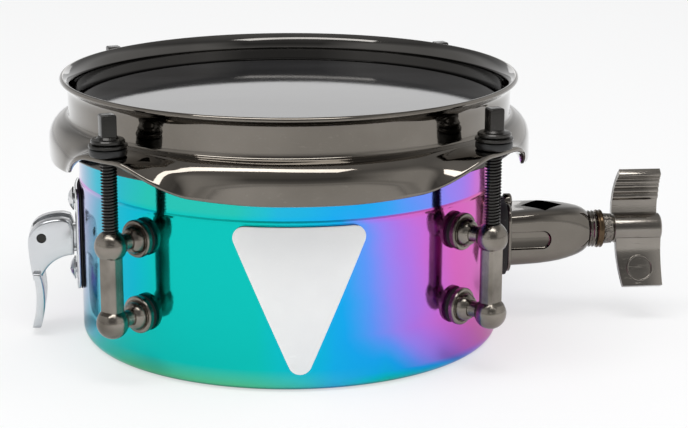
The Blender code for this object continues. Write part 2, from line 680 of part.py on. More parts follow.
def lug_stem_profile():
    """Foot, dome and stem from the shell into the ball, along the stem's axis."""
    foot_top = LUG_SEAT + FOOT_HEIGHT
    dome_top = foot_top + DOME_HEIGHT
    tip = ROD_CIRCLE - STEM_RADIUS
    return [(0, tip), (STEM_RADIUS, tip), (STEM_RADIUS, dome_top + 0.6 * MM),
            (STEM_RADIUS + 0.5 * MM, dome_top), (DOME_RADIUS * 0.9, foot_top + DOME_HEIGHT * 0.6),
            (DOME_RADIUS, foot_top), (FOOT_RADIUS - 0.6 * MM, foot_top),
            (FOOT_RADIUS, foot_top - 0.6 * MM), (FOOT_RADIUS, LUG_SEAT), (0, LUG_SEAT)]


def make_lugs():
    neck = degrees(acos(POST_RADIUS / BALL_RADIUS))
    profile = arc((0, LUG_UPPER), BALL_RADIUS, 90, -neck, 7)
    profile += arc((0, LUG_LOWER), BALL_RADIUS, neck, -90, 7)
    profile[0] = (0, LUG_UPPER + BALL_RADIUS)
    profile[-1] = (0, LUG_LOWER - BALL_RADIUS)
    post_mesh = baked(turned("lug_barrel", profile, solid=True))
    post_mesh.transform(Matrix.Translation((ROD_CIRCLE, 0, 0)))
    post = bpy.data.objects.new("lug_form", post_mesh)
    for height in LUG_HEIGHTS:
        stem = turned("lug_stem", lug_stem_profile(), SMALL_STEPS, solid=True)
        tool(stem, None, (0, 0, height), AROUND_X)
        boolean(post, stem, "UNION")
        bore = hole("lug_screw_bore", SCREW_HOLE_RADIUS, LUG_SEAT - SHEET,
                    SHELL_INNER - GAP + SCREW_LENGTH, SMALL_STEPS)
        boolean(post, tool(bore, None, (0, 0, height)))
    rod_bore = cylinder("lug_rod_bore", ROD_CLEARANCE_RADIUS, LUG_BORE_DEPTH)
    rod_bore.data.transform(Matrix.Rotation(pi / ROUND_STEPS, 4, "Z"))
    top = LUG_UPPER + BALL_RADIUS + GAP
    boolean(post, tool(rod_bore, None, (ROD_CIRCLE, 0, top - LUG_BORE_DEPTH / 2)))
    lug = baked(post)
    seat = (BRACKET_FACE**2 - SCREW_FLANGE_RADIUS**2)**0.5
    screw = baked(screw_along_z("lug_screw_form", SCREW_LENGTH))
    for corner, frame in ROD_FRAMES.items():
        shared("lug_" + corner, lug, BLACK_NICKEL, frame)
        for name, height in zip(("lower", "upper"), LUG_HEIGHTS):
            shared(f"lug_screw_{corner}_{name}", screw, SPRING_STEEL, frame, (seat, 0, height), AROUND_X)


def screw_along_z(name, length):
    """A flanged screw with its seat at height 0, its shank up and its head below."""
    flange = -SCREW_FLANGE_HEIGHT
    head = flange - SCREW_HEAD_HEIGHT
    return turned(name, [(0, length), (SCREW_RADIUS, length), (SCREW_RADIUS, 0), (SCREW_FLANGE_RADIUS, 0),
                         (SCREW_FLANGE_RADIUS, flange), (SCREW_HEAD_RADIUS, flange),
                         (SCREW_HEAD_RADIUS, flange - SCREW_HEAD_HEIGHT * 0.6),
                         (SCREW_HEAD_RADIUS * 0.6, head), (0, head)],
                  SMALL_STEPS, solid=True)


# Throw-off, in a frame whose +X points out of the shell at the throw-off

def bezier(start, control, end, count=6):
    points = []
    for i in range(count):
        t = i / (count - 1)
        weights = ((1 - t)**2, 2 * t * (1 - t), t * t)
        points.append(tuple(sum(w * p[axis] for w, p in zip(weights, (start, control, end)))
                            for axis in (0, 1)))
    return points


def across_hole(name, radius, length):
    """A cutter along Y."""
    drill = cylinder(name, radius, length)
    drill.data.transform(Matrix.Rotation(pi / 2, 4, "X"))
    return drill


def drill_throw_side(obj, start, end):
    for height in PLATE_SCREW_HEIGHTS:
        drill = hole(obj.name + "_screw_hole", SCREW_HOLE_RADIUS, start, end, SMALL_STEPS)
        boolean(obj, tool(drill, THROW_SIDE, (0, 0, height)))
    drill = hole(obj.name + "_bush_hole", BUSH_RADIUS + GAP, start, end)
    boolean(obj, tool(drill, THROW_SIDE, (0, 0, PUSH_ROD_HEIGHT)))


def make_throw_plate():
    outline = rounded_rectangle(PLATE_WIDTH, PLATE_HEIGHT, PLATE_CORNER, (0, PIN_HEIGHT))
    gasket = wrapped("throw_gasket", outline, SEAT_RADIUS, SEAT_RADIUS + GASKET_THICKNESS, THROW_SIDE)
    part(gasket, BLACK_RUBBER, THROW_SIDE)
    drill_throw_side(gasket, SHELL_INNER, PLATE_INNER)
    plate = wrapped("throw_plate", outline, PLATE_INNER, PLATE_OUTER, THROW_SIDE)
    part(plate, CHROME, THROW_SIDE)
    half = TONGUE_HEIGHT / 2
    root = PLATE_INNER + PLATE_THICKNESS / 2 - PIN_CIRCLE
    tongue = prism("tongue", arc((0, 0), half, -90, 90, 9) + [(root, half), (root, -half)], TONGUE_WIDTH)
    boolean(plate, tool(tongue, THROW_SIDE, (PIN_CIRCLE, 0, PIN_HEIGHT), UPRIGHT), "UNION")
    drill_throw_side(plate, SHELL_INNER, PLATE_OUTER + GAP / 2)
    pin_hole = across_hole("tongue_pin_hole", PIN_RADIUS + GAP, LEVER_WIDTH)
    boolean(plate, tool(pin_hole, THROW_SIDE, (PIN_CIRCLE, 0, PIN_HEIGHT)))
    dome = [(0, PLATE_OUTER + GAP + PLATE_SCREW_DOME),
            (PLATE_SCREW_HEAD * 0.55, PLATE_OUTER + GAP + PLATE_SCREW_DOME * 0.85),
            (PLATE_SCREW_HEAD * 0.9, PLATE_OUTER + GAP + PLATE_SCREW_DOME * 0.4),
            (PLATE_SCREW_HEAD, PLATE_OUTER + GAP), (SCREW_RADIUS, PLATE_OUTER + GAP),
            (SCREW_RADIUS, NUT_FACE - 2 * NUT_HEIGHT), (0, NUT_FACE - 2 * NUT_HEIGHT)]
    screw = baked(turned("throw_screw_form", dome, SMALL_STEPS, solid=True))
    nut = baked(tube("nut", SCREW_HOLE_RADIUS, NUT_RADIUS, NUT_FACE - NUT_HEIGHT, NUT_HEIGHT, 6))
    for name, height in zip(("lower", "upper"), PLATE_SCREW_HEIGHTS):
        shared("throw_screw_" + name, screw, CHROME, THROW_SIDE, (0, 0, height), AROUND_X)
        shared("throw_nut_" + name, nut, SPRING_STEEL, THROW_SIDE, (0, 0, height), AROUND_X)
    pin = across_hole("lever_pin", PIN_RADIUS, PIN_LENGTH)
    part(pin, BLACK_OXIDE, THROW_SIDE, (PIN_CIRCLE, 0, PIN_HEIGHT))


def lever_outline():
    """Side view about the pin, +X away from the shell."""
    corner = degrees(atan2((LEVER_SWEEP**2 - LEVER_INNER**2)**0.5, LEVER_INNER))
    heel = (-LEVER_INNER, -LEVER_HEEL)
    shoulder = (-0.65 * LEVER_SWEEP, LEVER_TOP)
    nose = (LEVER_NOSE, -2 * MM)
    neck_out = (LEVER_NOSE - BLADE_THICKNESS / 2, -LEVER_NECK)
    neck_in = (neck_out[0] - BLADE_THICKNESS * 1.1, -LEVER_NECK)
    points = [heel]
    points += arc((0, 0), LEVER_SWEEP, 180 - corner, 148, 4)
    points += bezier(shoulder, (LEVER_NOSE, LEVER_TOP), nose, 8)
    points += bezier(nose, (LEVER_NOSE, -8 * MM), neck_out, 4)[1:]
    points += bezier(neck_in, (-2.5 * MM, -LEVER_HEEL - 0.5 * MM), heel, 6)[:-1]
    return points


def blade_outline():
    top_out = (LEVER_NOSE - BLADE_THICKNESS / 2, -LEVER_NECK + MM)
    top_in = (top_out[0] - BLADE_THICKNESS, top_out[1])
    tip_out = (LEVER_NOSE - 0.4 * MM, -BLADE_DROP)
    tip_in = (tip_out[0] - BLADE_THICKNESS, -BLADE_DROP)
    return (bezier(top_out, (MM, -0.64 * BLADE_DROP), tip_out)
            + bezier(tip_in, (-2.4 * MM, -0.69 * BLADE_DROP), top_in))


def make_lever():
    pin = (PIN_CIRCLE, 0, PIN_HEIGHT)
    lever = part(prism("throw_lever", lever_outline(), LEVER_WIDTH), CHROME, THROW_SIDE, pin, UPRIGHT)
    blade = tool(prism("blade", blade_outline(), BLADE_WIDTH), THROW_SIDE, pin, UPRIGHT)
    height = BLADE_DROP - LEVER_NECK + 2 * MM
    middle = (0, -BLADE_DROP + height / 2)
    window = prism("blade_window", rounded_rectangle(BLADE_WIDTH, height, BLADE_CORNER, middle), LEVER_INNER * 2)
    boolean(blade, tool(window, THROW_SIDE, pin, FACING_X), "INTERSECT")
    boolean(lever, blade, "UNION")
    reach = 2 * LEVER_SWEEP
    room = TONGUE_HEIGHT / 2 + GAP
    lean = pi / 2 - LEVER_OPEN - radians(3)
    slot_floor = -(PUSH_ROD_DROP + PUSH_ROD_RADIUS + GAP)
    slot = [(-reach, slot_floor), (-WEB_FACE, slot_floor), (-WEB_FACE, -room)]
    slot += arc((0, 0), room, -90, degrees(lean), 8)
    slot += [(room * cos(lean) - reach * sin(lean), room * sin(lean) + reach * cos(lean)), (-reach, reach)]
    boolean(lever, tool(prism("lever_slot", slot, TONGUE_WIDTH + 2 * GAP), THROW_SIDE, pin, UPRIGHT))
    pin_hole = across_hole("lever_pin_hole", PIN_RADIUS + GAP, LEVER_WIDTH + SHEET)
    boolean(lever, tool(pin_hole, THROW_SIDE, pin))


def make_push_rod():
    stop_base = STOP_FACE - STOP_HEIGHT
    profile = [(0, PUSH_ROD_HEAD), (PUSH_ROD_RADIUS * 0.7, PUSH_ROD_HEAD),
               (PUSH_ROD_RADIUS, PUSH_ROD_HEAD - PUSH_ROD_RADIUS * 0.5), (PUSH_ROD_RADIUS, STOP_FACE),
               (STOP_RADIUS, STOP_FACE), (STOP_RADIUS, stop_base), (PUSH_ROD_RADIUS, stop_base),
               (PUSH_ROD_RADIUS, PUSH_ROD_TAIL), (0, PUSH_ROD_TAIL)]
    rod = turned("push_rod", profile, SMALL_STEPS, solid=True)
    part(rod, CHROME, THROW_SIDE, (0, 0, PUSH_ROD_HEIGHT), AROUND_X)
    bore = PUSH_ROD_RADIUS + GAP
    flange_base = BUSH_FLANGE_FACE - BUSH_FLANGE_HEIGHT
    bush = turned("rod_bush", [(bore, PLATE_OUTER - GAP), (BUSH_RADIUS, PLATE_OUTER - GAP),
                               (BUSH_RADIUS, BUSH_FLANGE_FACE), (BUSH_FLANGE, BUSH_FLANGE_FACE),
                               (BUSH_FLANGE, flange_base), (bore, flange_base)])
    part(bush, BLACK_NYLON, THROW_SIDE, (0, 0, PUSH_ROD_HEIGHT), AROUND_X)
    make_return_spring(GUIDE_OUTER + GAP, stop_base - GAP)


def make_return_spring(start, end):
    curve = bpy.data.curves.new("return_spring", "CURVE")
    curve.dimensions = "3D"
    curve.bevel_depth = SPRING_WIRE
    curve.bevel_resolution = 1
    curve.use_fill_caps = True
    per_turn = 9
    count = SPRING_TURNS * per_turn
    first = start + SPRING_WIRE
    length = end - start - 2 * SPRING_WIRE
    spline = curve.splines.new("POLY")
    spline.points.add(count)
    for i, point in enumerate(spline.points):
        angle = 2 * pi * i / per_turn
        point.co = (first + length * i / count, SPRING_RADIUS * cos(angle), SPRING_RADIUS * sin(angle), 1)
    spring = bpy.data.objects.new("return_spring", curve)
    part(spring, SPRING_STEEL, THROW_SIDE, (0, 0, PUSH_ROD_HEIGHT))


# Lifter inside the shell, on the throw-off's side

def make_lifter():
    strap = BRACKET_INNER + SHEET / 2
    shelf_end = RAMP_END - WEDGE_RAMP
    path = [(strap, STRAP_TOP), (strap, SHELF_HEIGHT), (shelf_end, SHELF_HEIGHT)]
    bracket = part(strip("lifter_bracket", path, BRACKET_WIDTH, SHEET), SPRING_STEEL, THROW_SIDE)
    guide_top = PUSH_ROD_HEIGHT + STOP_RADIUS
    guide = block("rod_guide", (SHEET, BRACKET_WIDTH, guide_top - SHELF_HEIGHT))
    middle = (GUIDE_FACE + SHEET / 2, 0, (guide_top + SHELF_HEIGHT) / 2)
    boolean(bracket, tool(guide, THROW_SIDE, middle), "UNION")
    drill_throw_side(bracket, BRACKET_INNER - GAP, SHELL_RADIUS)
    rod_hole = hole("guide_hole", PUSH_ROD_RADIUS + GAP, GUIDE_FACE - SHEET, GUIDE_OUTER + SHEET)
    boolean(bracket, tool(rod_hole, THROW_SIDE, (0, 0, PUSH_ROD_HEIGHT)))
    floor = SHELF_HEIGHT + SHEET / 2 + GAP
    outline = [(WEDGE_OUTER, floor), (WEDGE_OUTER, WEDGE_TOP), (RAMP_END, WEDGE_TOP),
               (RAMP_END - WEDGE_RAMP, WEDGE_TOP - WEDGE_RAMP * WEDGE_SLOPE), (RAMP_END - WEDGE_RAMP, floor)]
    wedge = part(prism("lifter_wedge", outline, WEDGE_WIDTH), BLACK_NYLON, THROW_SIDE, (0, 0, 0), UPRIGHT)
    socket = hole("wedge_socket", PUSH_ROD_RADIUS + GAP, PUSH_ROD_TAIL - GAP, WEDGE_OUTER + SHEET)
    boolean(wedge, tool(socket, THROW_SIDE, (0, 0, PUSH_ROD_HEIGHT)))


# Snare carrier with its leg, plates and wires

def make_carrier():
    hinge = (-HINGE_CIRCLE, 0, HINGE_HEIGHT)
    near = [HINGE_CIRCLE - SNARE_PAD_OUTER, HINGE_CIRCLE - SNARE_PAD_INNER]
    far = [HINGE_CIRCLE + SNARE_PAD_INNER, HINGE_CIRCLE + SNARE_PAD_OUTER]
    bar = CARRIER_BAR - HINGE_HEIGHT
    pad = CARRIER_PAD - HINGE_HEIGHT
    path = arc((0, 0), KNUCKLE_RADIUS, 10, 270, 10)
    path += [(near[0] - CARRIER_RISE, bar), (near[0], pad), (near[1], pad), (near[1] + CARRIER_RISE, bar)]
    path += [(far[0] - CARRIER_RISE, bar), (far[0], pad), (far[1], pad)]
    carrier = strip("snare_carrier", path, CARRIER_WIDTH, SHEET)
    part(carrier, SPRING_STEEL, THROW_SIDE, hinge)
    pin = across_hole("carrier_pin", HINGE_PIN_RADIUS, HINGE_STRAP_WIDTH)
    part(pin, SPRING_STEEL, THROW_SIDE, hinge)
    half = LEG_THICKNESS / 2
    top = CARRIER_BAR - SHEET / 2 - GAP
    flange = 3 * half
    outline = arc((LEG_PLACE, LEG_TIP), half, 180, 360, 6)
    outline += [(LEG_PLACE + half, top - SHEET), (LEG_PLACE + flange, top - SHEET), (LEG_PLACE + flange, top),
                (LEG_PLACE - flange, top), (LEG_PLACE - flange, top - SHEET), (LEG_PLACE - half, top - SHEET)]
    part(prism("carrier_leg", outline, LEG_WIDTH), BLACK_NYLON, THROW_SIDE, (0, 0, 0), UPRIGHT)
    make_snares()


def make_snares():
    """Straight wires soldered to a plate at each end, as one piece."""
    length = SNARE_PAD_OUTER - SNARE_PAD_INNER
    middle = (SNARE_PAD_OUTER + SNARE_PAD_INNER) / 2
    height = SNARE_PLATE_TOP - SNARE_PLATE / 2
    plates = [block("snare_plate", (length, CARRIER_WIDTH, SNARE_PLATE)) for _ in range(2)]
    snares = part(plates[0], SPRING_STEEL, THROW_SIDE, (middle, 0, height))
    snares.name = "snare_wires"
    for i in range(SNARE_COUNT):
        y = (i - (SNARE_COUNT - 1) / 2) * SNARE_PITCH
        wire = hole("snare_wire", SNARE_RADIUS, -SNARE_PAD_OUTER + MM, SNARE_PAD_OUTER - MM, 8)
        boolean(snares, tool(wire, THROW_SIDE, (0, y, SNARE_AXIS)), "UNION")
    boolean(snares, tool(plates[1], THROW_SIDE, (-middle, 0, height)), "UNION")


def make_hinge_bracket():
    shelf_end = HINGE_CIRCLE - HINGE_EAR_RADIUS
    foot = CLAMP_HEIGHT - CLAMP_SCREW_OFFSET - BRACKET_MARGIN
    path = [(HINGE_STRAP, foot), (HINGE_STRAP, HINGE_SHELF), (shelf_end, HINGE_SHELF)]
    bracket = part(strip("hinge_bracket", path, HINGE_STRAP_WIDTH, SHEET), SPRING_STEEL, DRUM)
    outline = arc((0, 0), HINGE_EAR_RADIUS, 0, 180, 8)
    outline += [(-HINGE_EAR_RADIUS, -HINGE_SHELF_DROP), (HINGE_EAR_RADIUS, -HINGE_SHELF_DROP)]
    for side in (-1, 1):
        ear = prism("hinge_ear", outline, SHEET)
        y = side * (HINGE_STRAP_WIDTH - SHEET) / 2
        boolean(bracket, tool(ear, DRUM, (HINGE_CIRCLE, y, HINGE_HEIGHT), UPRIGHT), "UNION")
    pin_hole = across_hole("ear_pin_hole", HINGE_PIN_RADIUS + GAP, HINGE_STRAP_WIDTH + SHEET)
    boolean(bracket, tool(pin_hole, DRUM, (HINGE_CIRCLE, 0, HINGE_HEIGHT)))
    for height in CLAMP_SCREW_HEIGHTS:
        drill = hole("strap_hole", SCREW_HOLE_RADIUS, HINGE_STRAP - SHEET, SHELL_RADIUS, SMALL_STEPS)
        boolean(bracket, tool(drill, DRUM, (0, 0, height)))


# Clamp bracket

def make_clamp_base():
    outline = rounded_rectangle(CLAMP_PAD_WIDTH, CLAMP_PAD_HEIGHT, CLAMP_PAD_CORNER)
    depth = CLAMP_GASKET_FACE - SHELL_INNER + SHELL_WALL
    gasket = part(prism("clamp_gasket", outline, depth), BLACK_RUBBER, DRUM,
                  (CLAMP_GASKET_FACE - depth / 2, 0, CLAMP_HEIGHT), FACING_X)
    shell_room = tube("clamp_shell_room", SHELL_INNER / 2, SEAT_RADIUS, CLAMP_HEIGHT - CLAMP_PAD_HEIGHT,
                      CLAMP_PAD_HEIGHT * 2, RING_STEPS)
    boolean(gasket, tool(shell_room, DRUM))
    head_seat = HINGE_STRAP - SHEET / 2 - GAP
    length = CLAMP_BODY_START - SHEET / 2 - head_seat
    for height in CLAMP_SCREW_HEIGHTS:
        drill = hole("clamp_gasket_hole", SCREW_HOLE_RADIUS, SHELL_INNER, CLAMP_FLANGE_FACE, SMALL_STEPS)
        boolean(gasket, tool(drill, DRUM, (0, 0, height)))
    screw = baked(screw_along_z("clamp_screw_form", length))
    for name, height in zip(("lower", "upper"), CLAMP_SCREW_HEIGHTS):
        shared("clamp_screw_" + name, screw, SPRING_STEEL, DRUM, (head_seat, 0, height), AROUND_X)
    return head_seat + length


def superellipse(half_width, half_height, power, count):
    points = []
    for i in range(count):
        angle = 2 * pi * i / count
        c, s = cos(angle), sin(angle)
        points.append((half_width * abs(c)**(2 / power) * (1 if c > 0 else -1),
                       half_height * abs(s)**(2 / power) * (1 if s > 0 else -1)))
    return points


def make_clamp_body(screw_tip):
    outline = rounded_rectangle(CLAMP_PAD_WIDTH, CLAMP_PAD_HEIGHT, CLAMP_PAD_CORNER)
    body = part(prism("clamp_body", outline, CLAMP_FLANGE), BLACK_NICKEL, DRUM,
                (CLAMP_FLANGE_FACE + CLAMP_FLANGE / 2, 0, CLAMP_HEIGHT), FACING_X)
    wide = CLAMP_BODY_WIDTH / 2
    tall = CLAMP_BODY_HEIGHT / 2
    start = CLAMP_BODY_START - CLAMP_FLANGE / 2
    span = CLAMP_NOSE_FACE - start
    stations = [(0, 1, 1, 7), (0.35, 0.93, 1, 7), (0.60, 0.84, 0.98, 5), (0.78, 0.74, 0.92, 3.5),
                (0.91, 0.65, 0.84, 2.6), (1, 0, 0, 2)]
    count = 28
    bm = bmesh.new()
    rings = []
    for share, width_share, height_share, power in stations:
        half_width = wide * width_share or CLAMP_NOSE_RADIUS
        half_height = tall * height_share or CLAMP_NOSE_RADIUS
        ring = bmesh.ops.create_circle(bm, segments=count, radius=1)["verts"]
        for vert, (y, z) in zip(ring, superellipse(half_width, half_height, power, count)):
            vert.co = (start + share * span, y, z)
        rings.append({edge for vert in ring for edge in vert.link_edges})
    for first, second in zip(rings, rings[1:]):
        bmesh.ops.bridge_loops(bm, edges=list(first | second))
    bmesh.ops.holes_fill(bm, edges=bm.edges)
    bmesh.ops.recalc_face_normals(bm, faces=bm.faces)
    casting = tool(from_bmesh("clamp_casting", bm), DRUM, (0, 0, CLAMP_HEIGHT))
    boolean(body, casting, "UNION")
    half = DIAMOND_HALF
    diamond = prism("diamond_hole", [(half, 0), (0, half), (-half, 0), (0, -half)], CLAMP_PAD_HEIGHT)
    boolean(body, tool(diamond, DRUM, (DIAMOND_CENTRE, 0, CLAMP_HEIGHT)))
    low = EYE_CENTRE - EYE_TRAVEL - EYE_OUTER - GAP
    high = EYE_CENTRE + EYE_OUTER + 2 * GAP
    room = block("eye_room", (high - low, 2 * (EYE_OUTER + GAP), EYE_HEIGHT + 2 * GAP))
    boolean(body, tool(room, DRUM, ((low + high) / 2, 0, CLAMP_HEIGHT)))
    bore = hole("bolt_bore", BOLT_RADIUS + GAP, EYE_CENTRE + EYE_OUTER / 2, CLAMP_NOSE_FACE + SHEET)
    boolean(body, tool(bore, DRUM, (0, 0, CLAMP_HEIGHT)))
    for height in CLAMP_SCREW_HEIGHTS:
        drill = hole("clamp_body_hole", SCREW_HOLE_RADIUS, SHELL_RADIUS, screw_tip + GAP, SMALL_STEPS)
        boolean(body, tool(drill, DRUM, (0, 0, height)))


def make_clamp_bolt():
    half = EYE_HEIGHT / 2
    eye = part(tube("clamp_bolt", EYE_HOLE, EYE_OUTER, -half, EYE_HEIGHT, 24), CHROME, DRUM,
               (EYE_CENTRE, 0, CLAMP_HEIGHT))
    stem = hole("bolt_stem", BOLT_RADIUS, EYE_CENTRE + (EYE_HOLE + EYE_OUTER) / 2, BOLT_END)
    boolean(eye, tool(stem, DRUM, (0, 0, CLAMP_HEIGHT)), "UNION")
    bore = BOLT_RADIUS + GAP
    washer = tube("lock_washer", bore, LOCK_WASHER_RADIUS, LOCK_WASHER_FACE, LOCK_WASHER_HEIGHT)
    part(washer, BLACK_NICKEL, DRUM, (0, 0, CLAMP_HEIGHT), AROUND_X)
    ring = tube("clamp_ring", bore, CLAMP_RING_RADIUS, CLAMP_RING_FACE, CLAMP_RING_HEIGHT)
    part(ring, BRASS, DRUM, (0, 0, CLAMP_HEIGHT), AROUND_X)


def make_wing_nut():
    start = WING_BARREL_START
    neck = WING_BARREL_RADIUS - 0.7 * MM
    edge = 0.6 * MM
    profile = [(0, WING_END), (WING_BARREL_RADIUS - edge, WING_END), (WING_BARREL_RADIUS, WING_END - edge),
               (WING_BARREL_RADIUS, start), (neck, start), (WING_COLLAR_RADIUS, WING_FACE), (0, WING_FACE)]
    nut = turned("wing_nut", profile, 20, solid=True)
    part(nut, BLACK_NICKEL, DRUM, (0, 0, CLAMP_HEIGHT), AROUND_X)
    back = WING_BARREL_RADIUS * 0.6
    upper = [(back, back * 0.8), (back * 1.25, WING_RISE * 0.4), (back * 1.05, WING_RISE * 0.66),
             (back * 0.5, WING_RISE * 0.86), (0, WING_RISE)]
    lower = [(-back, -back * 0.8), (-back * 1.2, -WING_DROP * 0.4), (-back * 1.9, -WING_DROP * 0.7),
             (-back * 2.9, -WING_DROP)]
    width = WING_END - WING_BARREL_START - edge
    middle = (WING_BARREL_START + WING_END) / 2
    for name, path in (("upper_wing", upper), ("lower_wing", lower)):
        wing = tool(strip(name, path, width, WING_THICKNESS), DRUM, (middle, 0, CLAMP_HEIGHT), (0, 0, pi / 2))
        boolean(nut, wing, "UNION")
    bore = hole("wing_bore", BOLT_RADIUS + GAP, WING_FACE - SHEET, BOLT_END + GAP)
    boolean(nut, tool(bore, DRUM, (0, 0, CLAMP_HEIGHT)))


make_shell()
make_badge()
make_head()
make_hoop()
make_rods()
make_lugs()
make_throw_plate()
make_lever()
make_push_rod()
make_lifter()
make_carrier()
make_hinge_bracket()
SCREW_TIP = make_clamp_base()
make_clamp_body(SCREW_TIP)
make_clamp_bolt()
make_wing_nut()
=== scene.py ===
from math import acos, atan2, cos, degrees, hypot, pi, radians, sin, tan

import bmesh
import bpy
from mathutils import Matrix, Vector


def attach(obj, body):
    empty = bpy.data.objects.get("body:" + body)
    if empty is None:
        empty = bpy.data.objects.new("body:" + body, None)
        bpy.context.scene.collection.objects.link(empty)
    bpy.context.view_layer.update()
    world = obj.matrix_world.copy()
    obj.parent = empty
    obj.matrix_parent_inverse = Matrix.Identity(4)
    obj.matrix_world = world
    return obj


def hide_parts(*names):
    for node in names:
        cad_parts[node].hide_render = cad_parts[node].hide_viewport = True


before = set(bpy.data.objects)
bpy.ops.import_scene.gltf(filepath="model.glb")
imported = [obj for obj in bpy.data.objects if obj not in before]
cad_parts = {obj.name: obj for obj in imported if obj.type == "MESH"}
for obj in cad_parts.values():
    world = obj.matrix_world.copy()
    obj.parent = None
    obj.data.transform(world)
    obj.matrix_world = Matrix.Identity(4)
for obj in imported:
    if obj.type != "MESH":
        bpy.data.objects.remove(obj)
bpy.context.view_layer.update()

# Shapes are made in millimetres about the drum's axis, which stands here in the part's frame
AXIS_X = -21.7
TO_METRES = Matrix.Translation((AXIS_X / 1000, 0, 0)) @ Matrix.Scale(0.001, 4)
TO_AXIS = (-AXIS_X / 1000, 0, 0)
WELD = 0.002

# Turns for a shape made along Z or flat in XY: its axis laid along X, its face to the front or to the right
AROUND_X = Matrix.Rotation(pi / 2, 4, "Y")
UPRIGHT = Matrix.Rotation(pi / 2, 4, "X")
FACING_X = Matrix(((0, 0, 1, 0), (1, 0, 0, 0), (0, 1, 0, 0), (0, 0, 0, 1)))

# Drum sizes
SHELL_R, SHELL_H, SHELL_WALL, BEND = 76.2, 84.8, 1.4, 3.5
NECK_R, FLARE, LIP_Z, SHOULDER_Z = 79.5, 2.5, 93.68, 80.4
SKIRT_R, SKIRT, EAR_Z, SHEET = 86.56, 5.8, 79.8, 1.8
ROD_CIRCLE, ROD_HOLE, SCREW_HOLE = 90.6, 3.0, 3.3
LUG_LOW, LUG_HIGH, LUG_SEAT = 22.3, 49.0, 76.5
CLAMP_Z, PIN_X, PIN_Z = 33.7, 90.3, 36.5
SNARE_Z, SNARE_PLATE_Z, SNARE_PITCH, SNARE_COUNT = 84.0, 83.1, 2.3, 8

# Azimuths of the rods, the lugs and the hoop's ears, in degrees from the rod clamp
CORNERS = {"front_right": -45, "back_right": 45, "back_left": 135, "front_left": -135}


# Outlines

def arc(centre, radius, start, end, count):
    """Points on a circle from one angle to another, in degrees."""
    return [(centre[0] + radius * cos(radians(start + (end - start) * i / count)),
             centre[1] + radius * sin(radians(start + (end - start) * i / count)))
            for i in range(count + 1)]


def rounded(points, radius, count=3, closed=False):
    """Points of an outline with its corners turned into arcs; a list gives each corner its own radius."""
    result = []
    size = len(points)
    share_of_side, nearly_straight = 0.48, radians(88)
    radii = radius if isinstance(radius, (list, tuple)) else [radius] * size
    for i, point in enumerate(points):
        if not closed and i in (0, size - 1) or not radii[i]:
            result.append(tuple(point))
            continue
        here = Vector(point)
        back = Vector(points[i - 1]) - here
        ahead = Vector(points[(i + 1) % size]) - here
        reach = min(back.length, ahead.length) * share_of_side
        back.normalize()
        ahead.normalize()
        half = back.angle(ahead) / 2
        if half > nearly_straight:
            result.append(tuple(point))
            continue
        bend = min(radii[i], reach * tan(half))
        centre = here + (back + ahead).normalized() * (bend / sin(half))
        first = here + back * (bend / tan(half)) - centre
        last = here + ahead * (bend / tan(half)) - centre
        for k in range(count + 1):
            spoke = first.lerp(last, k / count).normalized() * bend
            result.append(tuple(centre + spoke))
    return result


def rectangle(half_width, top, low, radius, count=3):
    """Upright rectangle with rounded corners, its middle line on Y."""
    corners = [(half_width, top), (-half_width, top), (-half_width, low), (half_width, low)]
    return rounded(corners, radius, count, closed=True)


def bezier(start, control, end, count):
    a, b, c = Vector(start), Vector(control), Vector(end)
    return [tuple(a.lerp(b, i / count).lerp(b.lerp(c, i / count), i / count)) for i in range(count + 1)]


def smooth_line(points, count):
    """One smooth line through the given points, flat in XY."""
    knots = [Vector(p) for p in points]
    ends = [knots[0] * 2 - knots[1]] + knots + [knots[-1] * 2 - knots[-2]]
    line = []
    for i in range(1, len(ends) - 2):
        a, b, c, d = ends[i - 1:i + 3]
        for k in range(count):
            t = k / count
            line.append(0.5 * (2 * b + (c - a) * t + (2 * a - 5 * b + 4 * c - d) * t**2
                               + (3 * b - a - 3 * c + d) * t**3))
    line.append(knots[-1])
    return line


def heading(line, i):
    """Direction of a line at one of its points."""
    return (line[min(i + 1, len(line) - 1)] - line[max(i - 1, 0)]).normalized()


def superellipse(half_width, half_height, power, count):
    """Points round an oval, which a higher power makes squarer."""
    points = []
    for i in range(count):
        c, s = cos(2 * pi * i / count), sin(2 * pi * i / count)
        points.append((half_width * abs(c)**(2 / power) * (1 if c > 0 else -1),
                       half_height * abs(s)**(2 / power) * (1 if s > 0 else -1)))
    return points


# Shapes and objects

def at(x=0, y=0, z=0):
    return Matrix.Translation((x, y, z))


def moved(x=0, z=0, turn=0):
    """Place out from the drum's axis, turned round it by degrees."""
    return Matrix.Rotation(radians(turn), 4, "Z") @ at(x, 0, z)


def lathe(profile, steps, ring=False):
    """Turned shape about Z from (radius, height) points; a ring joins its last point to its first."""
    bm = bmesh.new()
    chain = [bm.verts.new((radius, 0, height)) for radius, height in profile]
    pairs = list(zip(chain, chain[1:]))
    if ring:
        pairs.append((chain[-1], chain[0]))
    edges = [bm.edges.new(pair) for pair in pairs]
    bmesh.ops.spin(bm, geom=chain + edges, cent=(0, 0, 0), axis=(0, 0, 1), angle=2 * pi,
                   steps=steps, use_merge=True)
    bmesh.ops.remove_doubles(bm, verts=bm.verts, dist=WELD)
    bmesh.ops.recalc_face_normals(bm, faces=bm.faces)
    return bm


def turned_ring(inner, outer, low, high, radius, steps):
    """Ring about Z with a rectangular section, its edges rounded."""
    section = rounded([(inner, low), (outer, low), (outer, high), (inner, high)], radius, closed=True)
    return lathe(section, steps, ring=True)


